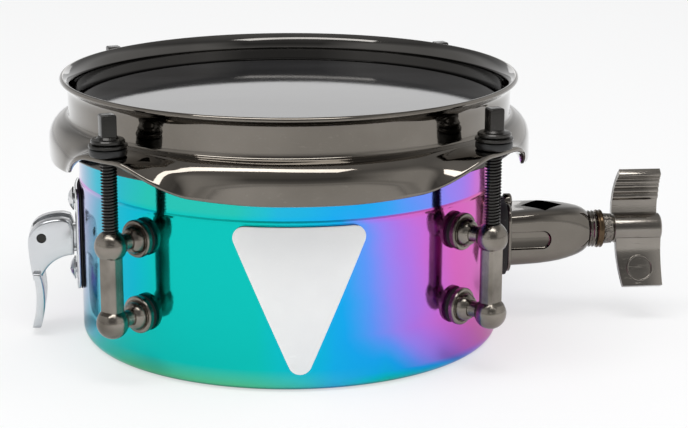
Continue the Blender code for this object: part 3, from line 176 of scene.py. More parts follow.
def helix(radius, section, rise, turns, steps):
    """Wire or ridge wound about Z; section is a list of (outward, up) points."""
    bm = bmesh.new()
    chain = [bm.verts.new((radius + out, 0, up)) for out, up in section]
    edges = [bm.edges.new((chain[i - 1], chain[i])) for i in range(len(chain))]
    bm.faces.new(chain)
    bmesh.ops.spin(bm, geom=chain + edges, cent=(0, 0, 0), axis=(0, 0, 1), dvec=(0, 0, rise / steps),
                   angle=2 * pi * turns, steps=int(steps * turns))
    bmesh.ops.holes_fill(bm, edges=[e for e in bm.edges if e.is_boundary])
    bmesh.ops.recalc_face_normals(bm, faces=bm.faces)
    return bm


def bevelled(bm, edges, width, segments):
    bmesh.ops.bevel(bm, geom=edges, affect="EDGES", offset=width, segments=segments, profile=0.5,
                    material=-1, clamp_overlap=True)


def slab(outline, thickness, bevel=0.0, segments=2):
    """Flat plate in XY, centred on Z 0, with softened rims."""
    bm = bmesh.new()
    face = bm.faces.new([bm.verts.new((x, y, -thickness / 2)) for x, y in outline])
    made = bmesh.ops.extrude_face_region(bm, geom=[face])["geom"]
    lifted = [v for v in made if isinstance(v, bmesh.types.BMVert)]
    bmesh.ops.translate(bm, verts=lifted, vec=(0, 0, thickness))
    bmesh.ops.recalc_face_normals(bm, faces=bm.faces)
    if bevel:
        rims = [e for e in bm.edges if sum(abs(f.normal.z) > 0.99 for f in e.link_faces) == 1]
        bevelled(bm, rims, bevel, segments)
    return bm


def bent(bm, radius, turn):
    """A flat plate in XY cut every half millimetre and bent round the drum, its middle at the turn."""
    wide = int(max(abs(v.co.x) for v in bm.verts)) + 1
    for k in range(-2 * wide, 2 * wide + 1):
        bmesh.ops.bisect_plane(bm, geom=bm.verts[:] + bm.edges[:] + bm.faces[:], plane_co=(k / 2, 0, 0),
                               plane_no=(1, 0, 0))
    for vert in bm.verts:
        angle = radians(turn) + vert.co.x / radius
        vert.co = ((radius + vert.co.z) * cos(angle), (radius + vert.co.z) * sin(angle), vert.co.y)
    return bm


def placed(bm, matrix):
    bmesh.ops.transform(bm, matrix=matrix, verts=bm.verts)
    return bm


def new_mesh(name, bm):
    mesh = bpy.data.meshes.new(name)
    bm.to_mesh(mesh)
    bm.free()
    return mesh


def new_object(name, data):
    obj = bpy.data.objects.new(name, data)
    bpy.context.scene.collection.objects.link(obj)
    return obj


def gathered(*shapes):
    """One mesh from several shapes."""
    whole = bmesh.new()
    for shape in shapes:
        held = new_mesh("held", shape)
        whole.from_mesh(held)
        bpy.data.meshes.remove(held)
    return whole


def cut(bm, other, operation="DIFFERENCE"):
    """The first shape cut, joined or crossed with the second."""
    blanks = []
    for shape in (bm, other):
        bmesh.ops.recalc_face_normals(shape, faces=shape.faces)
        blanks.append(new_object("blank", new_mesh("blank", shape)))
    change = blanks[0].modifiers.new("cut", "BOOLEAN")
    change.solver = "EXACT"
    change.operation = operation
    change.object = blanks[1]
    result = bmesh.new()
    result.from_object(blanks[0], bpy.context.evaluated_depsgraph_get())
    for blank in blanks:
        mesh = blank.data
        bpy.data.objects.remove(blank)
        bpy.data.meshes.remove(mesh)
    return result


def piece(name, bm, finish, body, stands_for=(), where=None, crease=32, merge=True):
    """Puts a shape in the part's frame as a named piece on its body."""
    if where is not None:
        placed(bm, where)
    if merge:
        bmesh.ops.remove_doubles(bm, verts=bm.verts, dist=WELD)
        bmesh.ops.recalc_face_normals(bm, faces=bm.faces)
    mesh = new_mesh(name, placed(bm, TO_METRES))
    mesh.shade_smooth()
    mesh.set_sharp_from_angle(angle=radians(crease))
    for one in finish if isinstance(finish, (list, tuple)) else (finish,):
        mesh.materials.append(one)
    obj = new_object(name, mesh)
    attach(obj, body)
    if stands_for:
        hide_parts(*stands_for)


# Nodes of materials and of the world

def feed(tree, made, **inputs):
    """Links or sets a node's inputs, each named by its label or by an i and its number."""
    for key, value in inputs.items():
        numbered = key[0] == "i" and key[1:].isdigit()
        socket = made.inputs[int(key[1:]) if numbered else key.replace("_", " ")]
        if isinstance(value, bpy.types.NodeSocket):
            tree.links.new(value, socket)
        else:
            socket.default_value = value


def node(tree, kind, settings=None, **inputs):
    made = tree.nodes.new(kind)
    for key, value in (settings or {}).items():
        setattr(made, key, value)
    feed(tree, made, **inputs)
    return made


def ramp(tree, factor, stops):
    """Colours by position, from (position, colour) stops."""
    made = node(tree, "ShaderNodeValToRGB", i0=factor)
    elements = made.color_ramp.elements
    while len(elements) < len(stops):
        elements.new(0.5)
    for element, (position, colour) in zip(elements, stops):
        element.position = position
        element.color = (*colour, 1)
    return made.outputs["Color"]


def levels(tree, factor, *stops):
    """Greys by position, from (position, value) stops."""
    return ramp(tree, factor, [(position, (value,) * 3) for position, value in stops])


def maths(tree, operation, a, b=0.5, c=0.5):
    return node(tree, "ShaderNodeMath", {"operation": operation}, i0=a, i1=b, i2=c).outputs[0]


def times(tree, a, b):
    return maths(tree, "MULTIPLY", a, b)


def scaled(tree, value, factor, offset):
    return maths(tree, "MULTIPLY_ADD", value, factor, offset)


def span(tree, value, low, high, start=0.0, end=1.0):
    """A value's way from low to high, given out as start to end and held there."""
    return node(tree, "ShaderNodeMapRange", i0=value, i1=low, i2=high, i3=start, i4=end).outputs[0]


def vector_maths(tree, operation, a, **others):
    return node(tree, "ShaderNodeVectorMath", {"operation": operation}, i0=a, **others).outputs


def blended(tree, factor, a, b, mode="MIX"):
    settings = {"data_type": "RGBA", "blend_type": mode}
    return node(tree, "ShaderNodeMix", settings, i0=factor, i6=a, i7=b).outputs[2]


def relief(tree, height, strength, distance):
    return node(tree, "ShaderNodeBump", Strength=strength, Distance=distance, Height=height).outputs[0]


# Finishes

def handled_surface():
    """Cloud, grain, scratches and dust of a handled surface, each from 0 to 1."""
    tree = bpy.data.node_groups.new("handled_surface", "ShaderNodeTree")
    tree.interface.new_socket(name="Vector", in_out="INPUT", socket_type="NodeSocketVector")
    size = tree.interface.new_socket(name="Scale", in_out="INPUT", socket_type="NodeSocketFloat")
    size.default_value = 1.0
    for label in ("Cloud", "Grain", "Scratches", "Dust"):
        tree.interface.new_socket(name=label, in_out="OUTPUT", socket_type="NodeSocketFloat")
    enter = tree.nodes.new("NodeGroupInput")
    leave = tree.nodes.new("NodeGroupOutput")
    point = vector_maths(tree, "SCALE", enter.outputs["Vector"], Scale=enter.outputs["Scale"])[0]
    cloud = node(tree, "ShaderNodeTexNoise", Vector=point, Scale=28.0, Detail=3.0, Roughness=0.55)
    grain = node(tree, "ShaderNodeTexNoise", Vector=point, Scale=2600.0, Detail=2.0, Roughness=0.6)
    stretch = node(tree, "ShaderNodeMapping", Vector=point, Rotation=(0.5, 0.9, 0.3),
                   Scale=(1.0, 22.0, 6.0))
    lines = node(tree, "ShaderNodeTexNoise", Vector=stretch.outputs[0], Scale=130.0, Detail=4.0,
                 Roughness=0.7)
    specks = node(tree, "ShaderNodeTexVoronoi", Vector=point, Scale=420.0, Randomness=1.0)
    feed(tree, leave, Cloud=cloud.outputs[0], Grain=grain.outputs[0],
         Scratches=span(tree, lines.outputs[0], 0.6, 0.72),
         Dust=span(tree, specks.outputs["Distance"], 0.16, 0.05))
    return tree


HANDLED = handled_surface()


def base(name, centre=(0, 0, 0), scale=1.0):
    """A new material with its surface details, ready for its colours."""
    made = bpy.data.materials.new(name)
    made.use_nodes = True
    tree = made.node_tree
    tree.nodes.clear()
    shader = node(tree, "ShaderNodeBsdfPrincipled")
    node(tree, "ShaderNodeOutputMaterial", Surface=shader.outputs[0])
    where = node(tree, "ShaderNodeTexCoord").outputs["Object"]
    point = node(tree, "ShaderNodeMapping", Vector=where, Location=centre).outputs[0]
    detail = node(tree, "ShaderNodeGroup", {"node_tree": HANDLED}, Vector=point, Scale=scale)
    return made, tree, shader, point, detail.outputs


def coated(name, tints, rough, metallic=1.0, spread=0.06, bump=0.12, grain=0.5, depth=0.00006,
           dust=0.0, coat=0.0, scale=1.0):
    """Finish with a colour and a gloss that drift, fine scratches, grain and dust."""
    made, tree, shader, _, detail = base(name, scale=scale)
    dark, light = tints
    scratched = (*[min(1, channel * 1.5 + 0.02) for channel in light], 1)
    tint = ramp(tree, detail["Cloud"], [(0.35, dark), (0.65, light)])
    worn = blended(tree, times(tree, detail["Scratches"], 0.25), tint, scratched)
    dusty = blended(tree, times(tree, detail["Dust"], dust), worn, (0.6, 0.58, 0.55, 1))
    gloss = scaled(tree, detail["Cloud"], spread, rough - spread / 2)
    gloss = scaled(tree, detail["Scratches"], spread * 0.8, gloss)
    height = scaled(tree, detail["Grain"], grain, detail["Scratches"])
    feed(tree, shader, Base_Color=dusty, Roughness=gloss, Normal=relief(tree, height, bump, depth),
         Metallic=metallic, Coat_Weight=coat)
    return made


def black_nickel(name):
    tints = (0.132, 0.116, 0.096), (0.178, 0.158, 0.134)
    return coated(name, tints, 0.07, spread=0.05, bump=0.04, dust=0.03, coat=0.8)


def nickel_with_painted_inner_shade():
    """Black nickel with painted shade: darker and greyer on the faces turned to the drum's axis."""
    made = black_nickel("hoop_plating_painted_shade")
    tree = made.node_tree
    shader = next(each for each in tree.nodes if each.type == "BSDF_PRINCIPLED")
    tint = shader.inputs["Base Color"].links[0].from_socket
    where = node(tree, "ShaderNodeTexCoord").outputs
    flat = node(tree, "ShaderNodeMapping", Vector=where["Object"], Location=TO_AXIS, Scale=(1, 1, 0))
    outward = vector_maths(tree, "NORMALIZE", flat.outputs[0])[0]
    facing = vector_maths(tree, "DOT_PRODUCT", outward, i1=where["Normal"])["Value"]
    # Painted shade: the faces turned to the axis get their colour multiplied darker and greyer
    inner = span(tree, facing, -0.25, -0.6)
    feed(tree, shader, Base_Color=blended(tree, inner, tint, (0.38, 0.40, 0.43, 1), mode="MULTIPLY"))
    return made


SHELL_TINTS = {
    "lavender": (0.42, 0.36, 0.68), "sky": (0.12, 0.39, 0.58), "pool": (0.002, 0.47, 0.62),
    "teal": (0.005, 0.52, 0.47), "cyan": (0.005, 0.48, 0.66), "azure": (0.01, 0.38, 0.84),
    "blue": (0.11, 0.30, 0.90), "indigo": (0.29, 0.23, 0.86), "violet": (0.41, 0.18, 0.78),
    "orchid": (0.56, 0.15, 0.66), "pink": (0.66, 0.13, 0.50), "rose": (0.72, 0.20, 0.36)}
SHELL_GREEN = (0.12, 0.52, 0.24, 1)


def shell_stops():
    """Tints by share of a turn, clockwise from the rod clamp as seen from above."""
    order = [(0.0, "violet"), (0.05, "rose"), (0.10, "pink"), (0.135, "pink"), (0.163, "orchid"),
             (0.180, "violet"), (0.196, "indigo"), (0.210, "blue"), (0.225, "azure"), (0.25, "cyan"),
             (0.28, "teal"), (0.36, "teal"), (0.383, "pool"), (0.41, "pool"), (0.436, "sky"),
             (0.475, "lavender"), (0.50, "orchid"), (0.56, "sky"), (0.66, "teal"), (0.76, "teal"),
             (0.84, "azure"), (0.91, "indigo"), (1.0, "violet")]
    return [(position, SHELL_TINTS[name]) for position, name in order]


def plated_shell():
    """Mirror plating whose colour drifts round the drum and with its height."""
    height_span = 0.085
    made, tree, shader, point, detail = base("plated_shell", TO_AXIS, scale=0.8)
    x, y, z = node(tree, "ShaderNodeSeparateXYZ", i0=point).outputs
    angle = maths(tree, "ARCTAN2", times(tree, y, -1.0), times(tree, x, -1.0))
    turn = scaled(tree, angle, -1 / (2 * pi), 0.5)
    lift = times(tree, z, 1 / height_span)

    # Tints move along the sequence with height, one way on the left and the other on the right
    with_height = levels(tree, lift, (0.0, 0.70), (0.025, 0.68), (0.055, 0.60), (0.12, 0.57), (0.22, 0.525),
                         (0.62, 0.50), (0.67, 0.49), (0.695, 0.44), (0.70, 0.53), (0.80, 0.53), (1.0, 0.52))
    leftward = levels(tree, turn, (0.19, 0), (0.23, 0.42), (0.33, 0.42), (0.43, 1), (0.85, 1), (0.97, 0))
    shift = times(tree, maths(tree, "SUBTRACT", with_height, 0.5), scaled(tree, leftward, -1.2, 0.5))

    # Above the bead the tints are moved once more by place, and a slow cloud wavers them everywhere
    above_bead = levels(tree, lift, (0.695, 0), (0.70, 1))
    spread = levels(tree, turn, (0.0, 0.5), (0.06, 0.56), (0.12, 0.61), (0.19, 0.53), (0.27, 0.44),
                    (0.36, 0.5))
    shift = maths(tree, "ADD", shift, times(tree, above_bead, scaled(tree, spread, 0.5, -0.25)))
    drift = scaled(tree, detail["Cloud"], 0.03, -0.015)
    place = maths(tree, "ADD", maths(tree, "ADD", turn, shift), drift)
    place = maths(tree, "FRACT", maths(tree, "ADD", place, 1.0))
    colour = ramp(tree, place, shell_stops())

    # Green along the bottom edge and under the hoop, in two places round the drum
    at_edges = levels(tree, lift, (0.0, 0.35), (0.02, 0.8), (0.09, 0), (0.70, 0), (0.72, 0.15), (0.8, 0.15))
    at_sides = levels(tree, turn, (0.20, 0), (0.26, 0.6), (0.30, 1), (0.39, 1), (0.43, 0), (0.66, 0),
                      (0.72, 1), (0.80, 0))
    colour = blended(tree, times(tree, at_edges, at_sides), colour, SHELL_GREEN)

    gloss = scaled(tree, detail["Cloud"], 0.05, 0.045)
    gloss = scaled(tree, detail["Scratches"], 0.04, gloss)
    height = scaled(tree, detail["Grain"], 0.15, detail["Cloud"])
    feed(tree, shader, Base_Color=colour, Roughness=gloss, Normal=relief(tree, height, 0.12, 0.0004),
         Metallic=1.0)
    return made


def smoke_film():
    """Clear black film: glossy, with faint hazy streaks and a little dust."""
    made, tree, shader, point, detail = base("smoke_film", TO_AXIS)
    streak = node(tree, "ShaderNodeMapping", Vector=point, Rotation=(0, 0, 0.4), Scale=(1, 5, 1))
    haze = node(tree, "ShaderNodeTexNoise", Vector=streak.outputs[0], Scale=9.0, Detail=3.0).outputs[0]
    tint = ramp(tree, haze, [(0.35, (0.012, 0.012, 0.013)), (0.7, (0.030, 0.030, 0.032))])
    dusty = blended(tree, times(tree, detail["Dust"], 0.06), tint, (0.5, 0.5, 0.5, 1))
    height = maths(tree, "ADD", detail["Cloud"], times(tree, detail["Grain"], 0.1))
    feed(tree, shader, Base_Color=dusty, Roughness=scaled(tree, haze, 0.05, 0.02), IOR=1.55,
         Normal=relief(tree, height, 0.10, 0.0003))
    return made


NICKEL = black_nickel("black_nickel")
PAINTED_SHADE_HOOP_PLATING = nickel_with_painted_inner_shade()
CHROME_TINTS = (0.62, 0.63, 0.65), (0.74, 0.75, 0.76)
CHROME = coated("bright_chrome", CHROME_TINTS, 0.12, spread=0.04, bump=0.05)
LEVER_CHROME = coated("satin_chrome", CHROME_TINTS, 0.2, metallic=0.85, bump=0.05)
BLACK_ROD = coated("blackened_steel", ((0.016, 0.015, 0.013), (0.036, 0.033, 0.030)), 0.24, metallic=0.75,
                   bump=0.3, dust=0.03, coat=0.25)
BLACK_NYLON = coated("black_nylon", ((0.006, 0.006, 0.006), (0.013, 0.013, 0.013)), 0.34, metallic=0.0,
                     bump=0.4)
RUBBER = coated("gasket_rubber", ((0.006, 0.006, 0.006), (0.014, 0.014, 0.013)), 0.68, metallic=0.0,
                spread=0.14, bump=0.8, dust=0.12)
STEEL = coated("zinc_steel", ((0.42, 0.42, 0.41), (0.56, 0.56, 0.54)), 0.26, spread=0.16, bump=0.25)
SPRING = coated("spring_steel", ((0.46, 0.46, 0.46), (0.60, 0.60, 0.60)), 0.20, spread=0.12, bump=0.15)
HEAD_RING = coated("head_ring_plate", ((0.045, 0.042, 0.038), (0.080, 0.074, 0.066)), 0.2, spread=0.12,
                   bump=0.2)
BROWN_BRASS = coated("brown_brass", ((0.085, 0.058, 0.034), (0.17, 0.115, 0.068)), 0.2, spread=0.10,
                     bump=0.2)
CAST_NICKEL = coated("cast_nickel", ((0.190, 0.172, 0.150), (0.270, 0.247, 0.218)), 0.16, spread=0.10,
                     bump=0.35, grain=1.2, depth=0.00008, dust=0.04, coat=0.5)
KNURLED_NICKEL = coated("knurled_nickel", ((0.130, 0.118, 0.104), (0.235, 0.212, 0.185)), 0.2, spread=0.12,
                        bump=1.0, grain=1.6, depth=0.0005, dust=0.1, scale=0.3)
LUG_NICKEL = coated("polished_lug_nickel", ((0.135, 0.120, 0.102), (0.290, 0.262, 0.228)), 0.13,
                    spread=0.10, bump=0.3, grain=0.6, depth=0.00012, dust=0.03, scale=2.2)
BADGE_FACE = coated("white_enamel", ((0.84, 0.84, 0.84), (0.90, 0.90, 0.89)), 0.34, metallic=0.0,
                    spread=0.08, bump=0.06, dust=0.05)
SHELL_PLATE = plated_shell()
FILM = smoke_film()


# Shell and badge

def make_shell():
    """One-piece shell: a rolled top edge, a fine bead, and a bend to the turned-in foot."""
    roll, bead_z, bead, bead_reach = 1.6, 58.6, 0.16, 0.8
    flange_r, foot_inner, foot_outer = 71.4, 69.8, 71.0
    bend = (SHELL_R - BEND, BEND)
    profile = [(flange_r, 83.9)] + arc((SHELL_R - roll, SHELL_H - roll), roll, 115, 0, 10)
    profile += rounded([(SHELL_R, 66), (SHELL_R, bead_z + bead_reach), (SHELL_R + bead, bead_z),
                        (SHELL_R, bead_z - bead_reach), (SHELL_R, 52)], 0.5)
    profile += arc(bend, BEND, 0, -90, 12)
    profile += rounded([(foot_outer, 0), (foot_inner, 0), (foot_inner, SHELL_WALL),
                        (foot_outer, SHELL_WALL)], 0.4)
    profile += arc(bend, BEND - SHELL_WALL, -90, 0, 6)
    profile += [(SHELL_R - SHELL_WALL, SHELL_H - 3.6), (flange_r, 82.6)]
    piece("shell_skin", lathe(profile, 256, ring=True), SHELL_PLATE, "drum", ["shell"], crease=50)


def make_badge():
    """Rounded triangle, point down, with two fine steps round its face."""
    half_width, top, height, corner = 22.25, 57.4, 51, 4.0
    half, high, low = half_width - corner, top - corner, top - height + corner
    slope = degrees(atan2(half, high - low))
    outline = arc((half, high), corner, -slope, 90, 10)
    outline += arc((-half, high), corner, 90, 180 + slope, 10)
    outline += arc((0, low), corner, 180 + slope, 360 - slope, 10)
    bm = placed(slab(outline, 0.5), at(z=0.35))
    front = [f for f in bm.faces if f.normal.z > 0.9]
    for step in (0.08, 0.04):
        bmesh.ops.inset_region(bm, faces=front, thickness=0.25, depth=step)
    piece("badge_plate", bent(bm, 76.4, -91.5), BADGE_FACE, "drum", ["badge"], crease=40)


# Head and hoop

def make_head():
    """The film with its collar, and the ring that holds its edge."""
    outer, top, low, fold, thickness = 76.8, 85.4, 72.2, 1.5, 0.3
    centre = (outer - fold, top - fold)
    profile = [(0, 85.38), (60, 85.38), (72, 85.36), (74.2, top)]
    profile += arc(centre, fold, 80, 0, 6) + [(outer, low), (outer - thickness, low)]
    profile += arc(centre, fold - thickness, 80, 0, 6)[::-1] + [(72, top - thickness), (0, top - thickness)]
    piece("film_head", lathe(profile, 192), FILM, "rim", ["batter_film"], crease=50)
    ring = turned_ring(77.1, 82.7, 70.7, 77.7, 0.8, 160)
    piece("head_ring", ring, HEAD_RING, "rim", ["flesh_hoop"])


def hoop_section(swing):
    """Outer face of the hoop from its lip down; swing 1 lays the skirt out as an ear."""
    fall = LIP_Z - SHOULDER_Z
    neck = [(NECK_R + FLARE, LIP_Z), (NECK_R + FLARE * 0.42, LIP_Z - fall * 0.085),
            (NECK_R + FLARE * 0.08, LIP_Z - fall * 0.22), (NECK_R, LIP_Z - fall * 0.45),
            (NECK_R, SHOULDER_Z + 2), (NECK_R + 0.7, SHOULDER_Z + 0.6), (NECK_R + 2.2, SHOULDER_Z)]
    bends_down = (30, 48, 66, 82, 90, 92)
    bends_out = (70, 30, 0, 0, 0, 0)
    shorter = 0.95
    across = SKIRT_R - neck[-1][0]
    steps = [across / sum(cos(radians(a)) for a in bends_down[:4])] * 4 + [SKIRT / 2] * 2
    drop = shorter * sum(s * sin(radians(a)) for s, a in zip(steps, bends_out))
    out_scale = (SHOULDER_Z - EAR_Z) / drop
    radius, height = neck[-1]
    section = list(neck)
    for step, down, out in zip(steps, bends_down, bends_out):
        angle = radians(down * (1 - swing) + out * swing)
        length = step * (1 - swing + shorter * swing)
        radius += length * cos(angle)
        height -= length * sin(angle) * (1 - swing + out_scale * swing)
        section.append((radius, height))
    return section


def sheet_outline(swing):
    """Closed outline of the hoop's sheet at one place, its two edges rounded."""
    line = smooth_line(hoop_section(swing), 5)
    outer, inner = [], []
    for i, spot in enumerate(line):
        along = heading(line, i)
        outer.append(spot)
        inner.append(spot + Vector((along.y, -along.x)) * SHEET)
    ends = []
    for first, last in ((outer[-1], inner[-1]), (inner[0], outer[0])):
        middle, half = (first + last) / 2, (first - last) / 2
        out = Vector((half.y, -half.x))
        if out.dot(middle - line[len(line) // 2]) < 0:
            out = -out
        ends.append([middle + half * cos(pi * k / 7) + out * (0.8 * sin(pi * k / 7)) for k in range(1, 7)])
    return outer + ends[0] + inner[::-1] + ends[1]


def ear_swing(azimuth):
    """How far the skirt is laid out at an azimuth: 1 at an ear's middle, 0 away from the ears."""
    away = degrees(min(abs((azimuth - radians(angle) + pi) % (2 * pi) - pi) for angle in CORNERS.values()))
    flat, near_reach, far_reach, near_part = 4, 15, 34, 0.76
    near = min(max((away - flat) / near_reach, 0), 1)
    far = min(max((away - flat) / far_reach, 0), 1)
    near = near * near / (near + 0.15) * 1.15
    return near_part * (1 - near) ** 1.6 + (1 - near_part) * (1 - far * far * (3 - 2 * far))


def make_hoop():
    """A ring spun from the skirt's outline, its sections then swung out to the four ears."""
    bm = bmesh.new()
    station = bm.verts.layers.int.new("station")
    chain = [bm.verts.new((spot.x, 0, spot.y)) for spot in sheet_outline(0)]
    for i, vert in enumerate(chain):
        vert[station] = i
    edges = [bm.edges.new((chain[i - 1], chain[i])) for i in range(len(chain))]
    bmesh.ops.spin(bm, geom=chain + edges, cent=(0, 0, 0), axis=(0, 0, 1), angle=2 * pi, steps=288,
                   use_merge=True)
    outlines = {}
    for vert in bm.verts:
        azimuth = atan2(vert.co.y, vert.co.x)
        swing = round(ear_swing(azimuth), 4)
        if swing not in outlines:
            outlines[swing] = sheet_outline(swing)
        spot = outlines[swing][vert[station]]
        vert.co = (spot.x * cos(azimuth), spot.x * sin(azimuth), spot.y)
    piece("hoop_skin", bm, PAINTED_SHADE_HOOP_PLATING, "rim", ["counter_hoop"], crease=60)


# Tension rods

def make_rods():
    """Four rods, each a core with a thread and a square head, with its washer and its collar."""
    pitch, thread_turns, thread_low = 1.05, 35, 45.0
    thread = [(-0.3, 0.05), (0.72, 0.43), (0.72, 0.57), (-0.3, 0.95)]
    side, head_height, head_z, head_turn = 2.6, 8.2, 89.7, 16
    shank = [(0, 44.0), (1.6, 44.0), (2.05, 44.8), (2.15, 60), (2.15, 82), (2.6, 83), (2.6, 84.2)]
    flange = [(5.3, 84.2), (5.7, 84.5), (5.7, 85.2), (5.3, 85.6), (3.9, 85.8), (3.3, 86.4), (0, 86.4)]
    for corner, angle in CORNERS.items():
        place = moved(ROD_CIRCLE, turn=angle)
        core = lathe(shank + flange, 40)
        ridge = helix(2.12, thread, pitch, thread_turns, 20)
        placed(ridge, at(z=thread_low))
        head = slab(rectangle(side, side, -side, 0.6), head_height)
        bevelled(head, [e for e in head.edges if all(v.co.z > 4 for v in e.verts)], 1.1, 4)
        placed(head, moved(z=head_z, turn=head_turn - angle))
        piece("rod_" + corner, gathered(core, ridge, head), BLACK_ROD, "rod_" + corner,
              ["tension_rod_" + corner], where=place, crease=28, merge=False)
        washer = turned_ring(ROD_HOLE, 6.5, 82.8, 83.9, 0.3, 48)
        piece("washer_" + corner, washer, BLACK_ROD, "rim", ["rod_washer_" + corner], where=place)
        collar = turned_ring(ROD_HOLE, 6.3, 80.1, 82.5, 0.5, 48)
        piece("collar_" + corner, collar, BLACK_NYLON, "rim", ["rod_collar_" + corner], where=place)


# Lugs

def lug_post(ball, post_r):
    """A post between two balls, with flats on its front and its sides."""
    neck = degrees(acos(post_r / ball))
    profile = [(0, LUG_HIGH + ball), (2.9, LUG_HIGH + ball * 0.86)]
    profile += arc((0, LUG_HIGH), ball, 56, -neck, 14)
    profile += arc((0, LUG_LOW), ball, neck, -84, 14) + [(0, LUG_LOW - ball)]
    post = lathe(profile, 60)
    for vert in post.verts:
        if abs(hypot(vert.co.x, vert.co.y) - post_r) < 0.02:
            vert.co.x = min(vert.co.x, 2.6)
            vert.co.y = max(min(vert.co.y, 3.4), -3.4)
    return placed(post, at(ROD_CIRCLE))


def lug_stem(inner_end):
    """A stem from the post to its stepped and domed foot on the shell."""
    foot, dome = LUG_SEAT + 3.0, LUG_SEAT + 5.9
    stem = [(0, ROD_CIRCLE - 2.0), (2.7, ROD_CIRCLE - 2.0), (2.7, dome + 1.0), (2.9, dome + 0.3)]
    stem += arc((0.6, foot), 4.3, 50, 0, 8)
    stem += rounded([(4.9, foot - 0.05), (5.1, foot - 0.4), (5.3, foot), (6.2, foot), (6.5, foot - 0.5),
                     (6.5, inner_end + 0.2), (6.1, inner_end), (0, inner_end)], 0.22)
    return lathe(stem, 56)


def make_lugs():
    pad_top = LUG_SEAT + 0.8
    for corner, angle in CORNERS.items():
        place = moved(turn=angle)
        shapes = [lug_post(5.55, 3.85)]
        pads = []
        for height in (LUG_LOW, LUG_HIGH):
            spot = at(z=height) @ AROUND_X
            shapes.append(placed(lug_stem(pad_top), spot))
            pads.append(placed(turned_ring(2.6, 6.2, LUG_SEAT - 1.1, pad_top, 0.3, 56), spot))
        piece("lug_form_" + corner, gathered(*shapes), LUG_NICKEL, "drum", ["lug_" + corner], where=place,
              crease=30, merge=False)
        piece("lug_pads_" + corner, gathered(*pads), RUBBER, "drum", where=place)


# Throw-off

THROW = moved(turn=180)


def screw_head(radius, dome, seat):
    """Domed head with a cross recess, its axis along X and its seat facing the drum."""
    top, cross, arm = seat + dome, 2.0, 0.38
    curve = hypot(radius * 0.98, radius * 0.75 + 0.25)
    profile = [(0, top)] + arc((0, seat - radius * 0.75), curve, 84, 40, 8)
    profile = [(r, min(z, top)) for r, z in profile if r < radius]
    profile += rounded([(radius, seat + 0.5), (radius, seat), (0, seat)], 0.15)
    head = lathe(profile, 40)
    for turn in (0, 90):
        recess = slab(rectangle(cross, arm, -arm, 0.2), 1.6)
        head = cut(head, placed(recess, moved(z=top, turn=turn)))
    return placed(head, AROUND_X)


def make_throw_off():
    """The plate with its tongue for the lever's pin, and its two screws."""
    half_width, half_height, screw_span = 12.0, 18.5, 13
    tongue_r, tongue_root = 3.4, -12.6
    plate = slab(rectangle(half_width, half_height, -half_height, 3.5, 8), 1.0, 0.3)
    placed(bent(plate, 77.7, 0), at(z=PIN_Z))
    outline = arc((0, 0), tongue_r, -90, 90, 14) + [(tongue_root, tongue_r), (tongue_root, -tongue_r)]
    tongue = slab(rounded(outline, 0.1, closed=True), 5.0, 0.4)
    placed(tongue, at(PIN_X, 0, PIN_Z) @ UPRIGHT)
    piece("throw_plate_skin", gathered(plate, tongue), CHROME, "drum", ["throw_plate"], where=THROW,
          merge=False)
    for name, height in (("lower", PIN_Z - screw_span), ("upper", PIN_Z + screw_span)):
        head = placed(screw_head(4.3, 2.2, 78.5), at(z=height))
        shank = lathe([(0, 79), (1.9, 79), (1.9, 72.0), (1.5, 71.5), (0, 71.5)], 20)
        placed(shank, at(z=height) @ AROUND_X)
        piece("throw_fastener_" + name, gathered(head, shank), CHROME, "drum", ["throw_screw_" + name],
              where=THROW, merge=False)


def make_lever():
    """The throw-off's lever, drawn from its side about its pin, with the drum to the left of it."""
    inner, sweep, nose, neck, drop = 11.5, 11.8, 4.9, 13.7, 34.6
    corner = degrees(atan2((sweep**2 - inner**2)**0.5, inner))
    cheek = [(-inner, -6.5)] + arc((0, 0), sweep, 180 - corner, 148, 6)
    cheek += bezier((-0.65 * sweep, 6.9), (nose, 6.9), (nose, -2), 14)
    cheek += bezier((nose, -2), (nose, -8), (nose - 1.5, -neck - 2.3), 8)[1:]
    cheek += bezier((nose - 4.1, -neck - 2.3), (-2.3, -7.2), (-inner, -6.5), 12)[:-1]
    blade = bezier((nose - 1.4, -neck + 1), (1, -0.64 * drop), (nose - 0.4, -drop), 12)
    blade += bezier((nose - 3.2, -drop), (-2.4, -0.69 * drop), (nose - 4.2, -neck + 1), 12)

    # The blade's width comes from crossing it with its front view
    front = slab(rectangle(9.5, -neck + 2.2, -drop, [2.5, 2.5, 6, 6], 8), 40)
    grip = cut(placed(slab(blade, 19.0, 0.7, 3), UPRIGHT), placed(front, FACING_X), "INTERSECT")
    form = cut(placed(slab(cheek, 14.0, 0.9, 3), UPRIGHT), grip, "UNION")

    # Room for the tongue and the plate, at rest and swung open, and the pin's hole
    swing, spare, room, reach, shelf, pin_r = radians(80), radians(3), 3.7, 24, -7.2, 1.8
    lean = pi / 2 - swing - spare
    slot = [(-reach, shelf), (-7.7, shelf), (-7.7, -room)] + arc((0, 0), room, -90, degrees(lean), 12)
    slot += [(room * cos(lean) - reach * sin(lean), room * sin(lean) + reach * cos(lean)), (-reach, reach)]
    form = cut(form, placed(slab(slot, 5.6), UPRIGHT))
    form = cut(form, placed(slab(arc((0, 0), pin_r, 0, 345, 23), 18), UPRIGHT))
    piece("lever_form", form, LEVER_CHROME, "lever", ["throw_lever"], where=THROW @ at(PIN_X, 0, PIN_Z),
          crease=36)


# Rod clamp

CLAMP = at(z=CLAMP_Z)


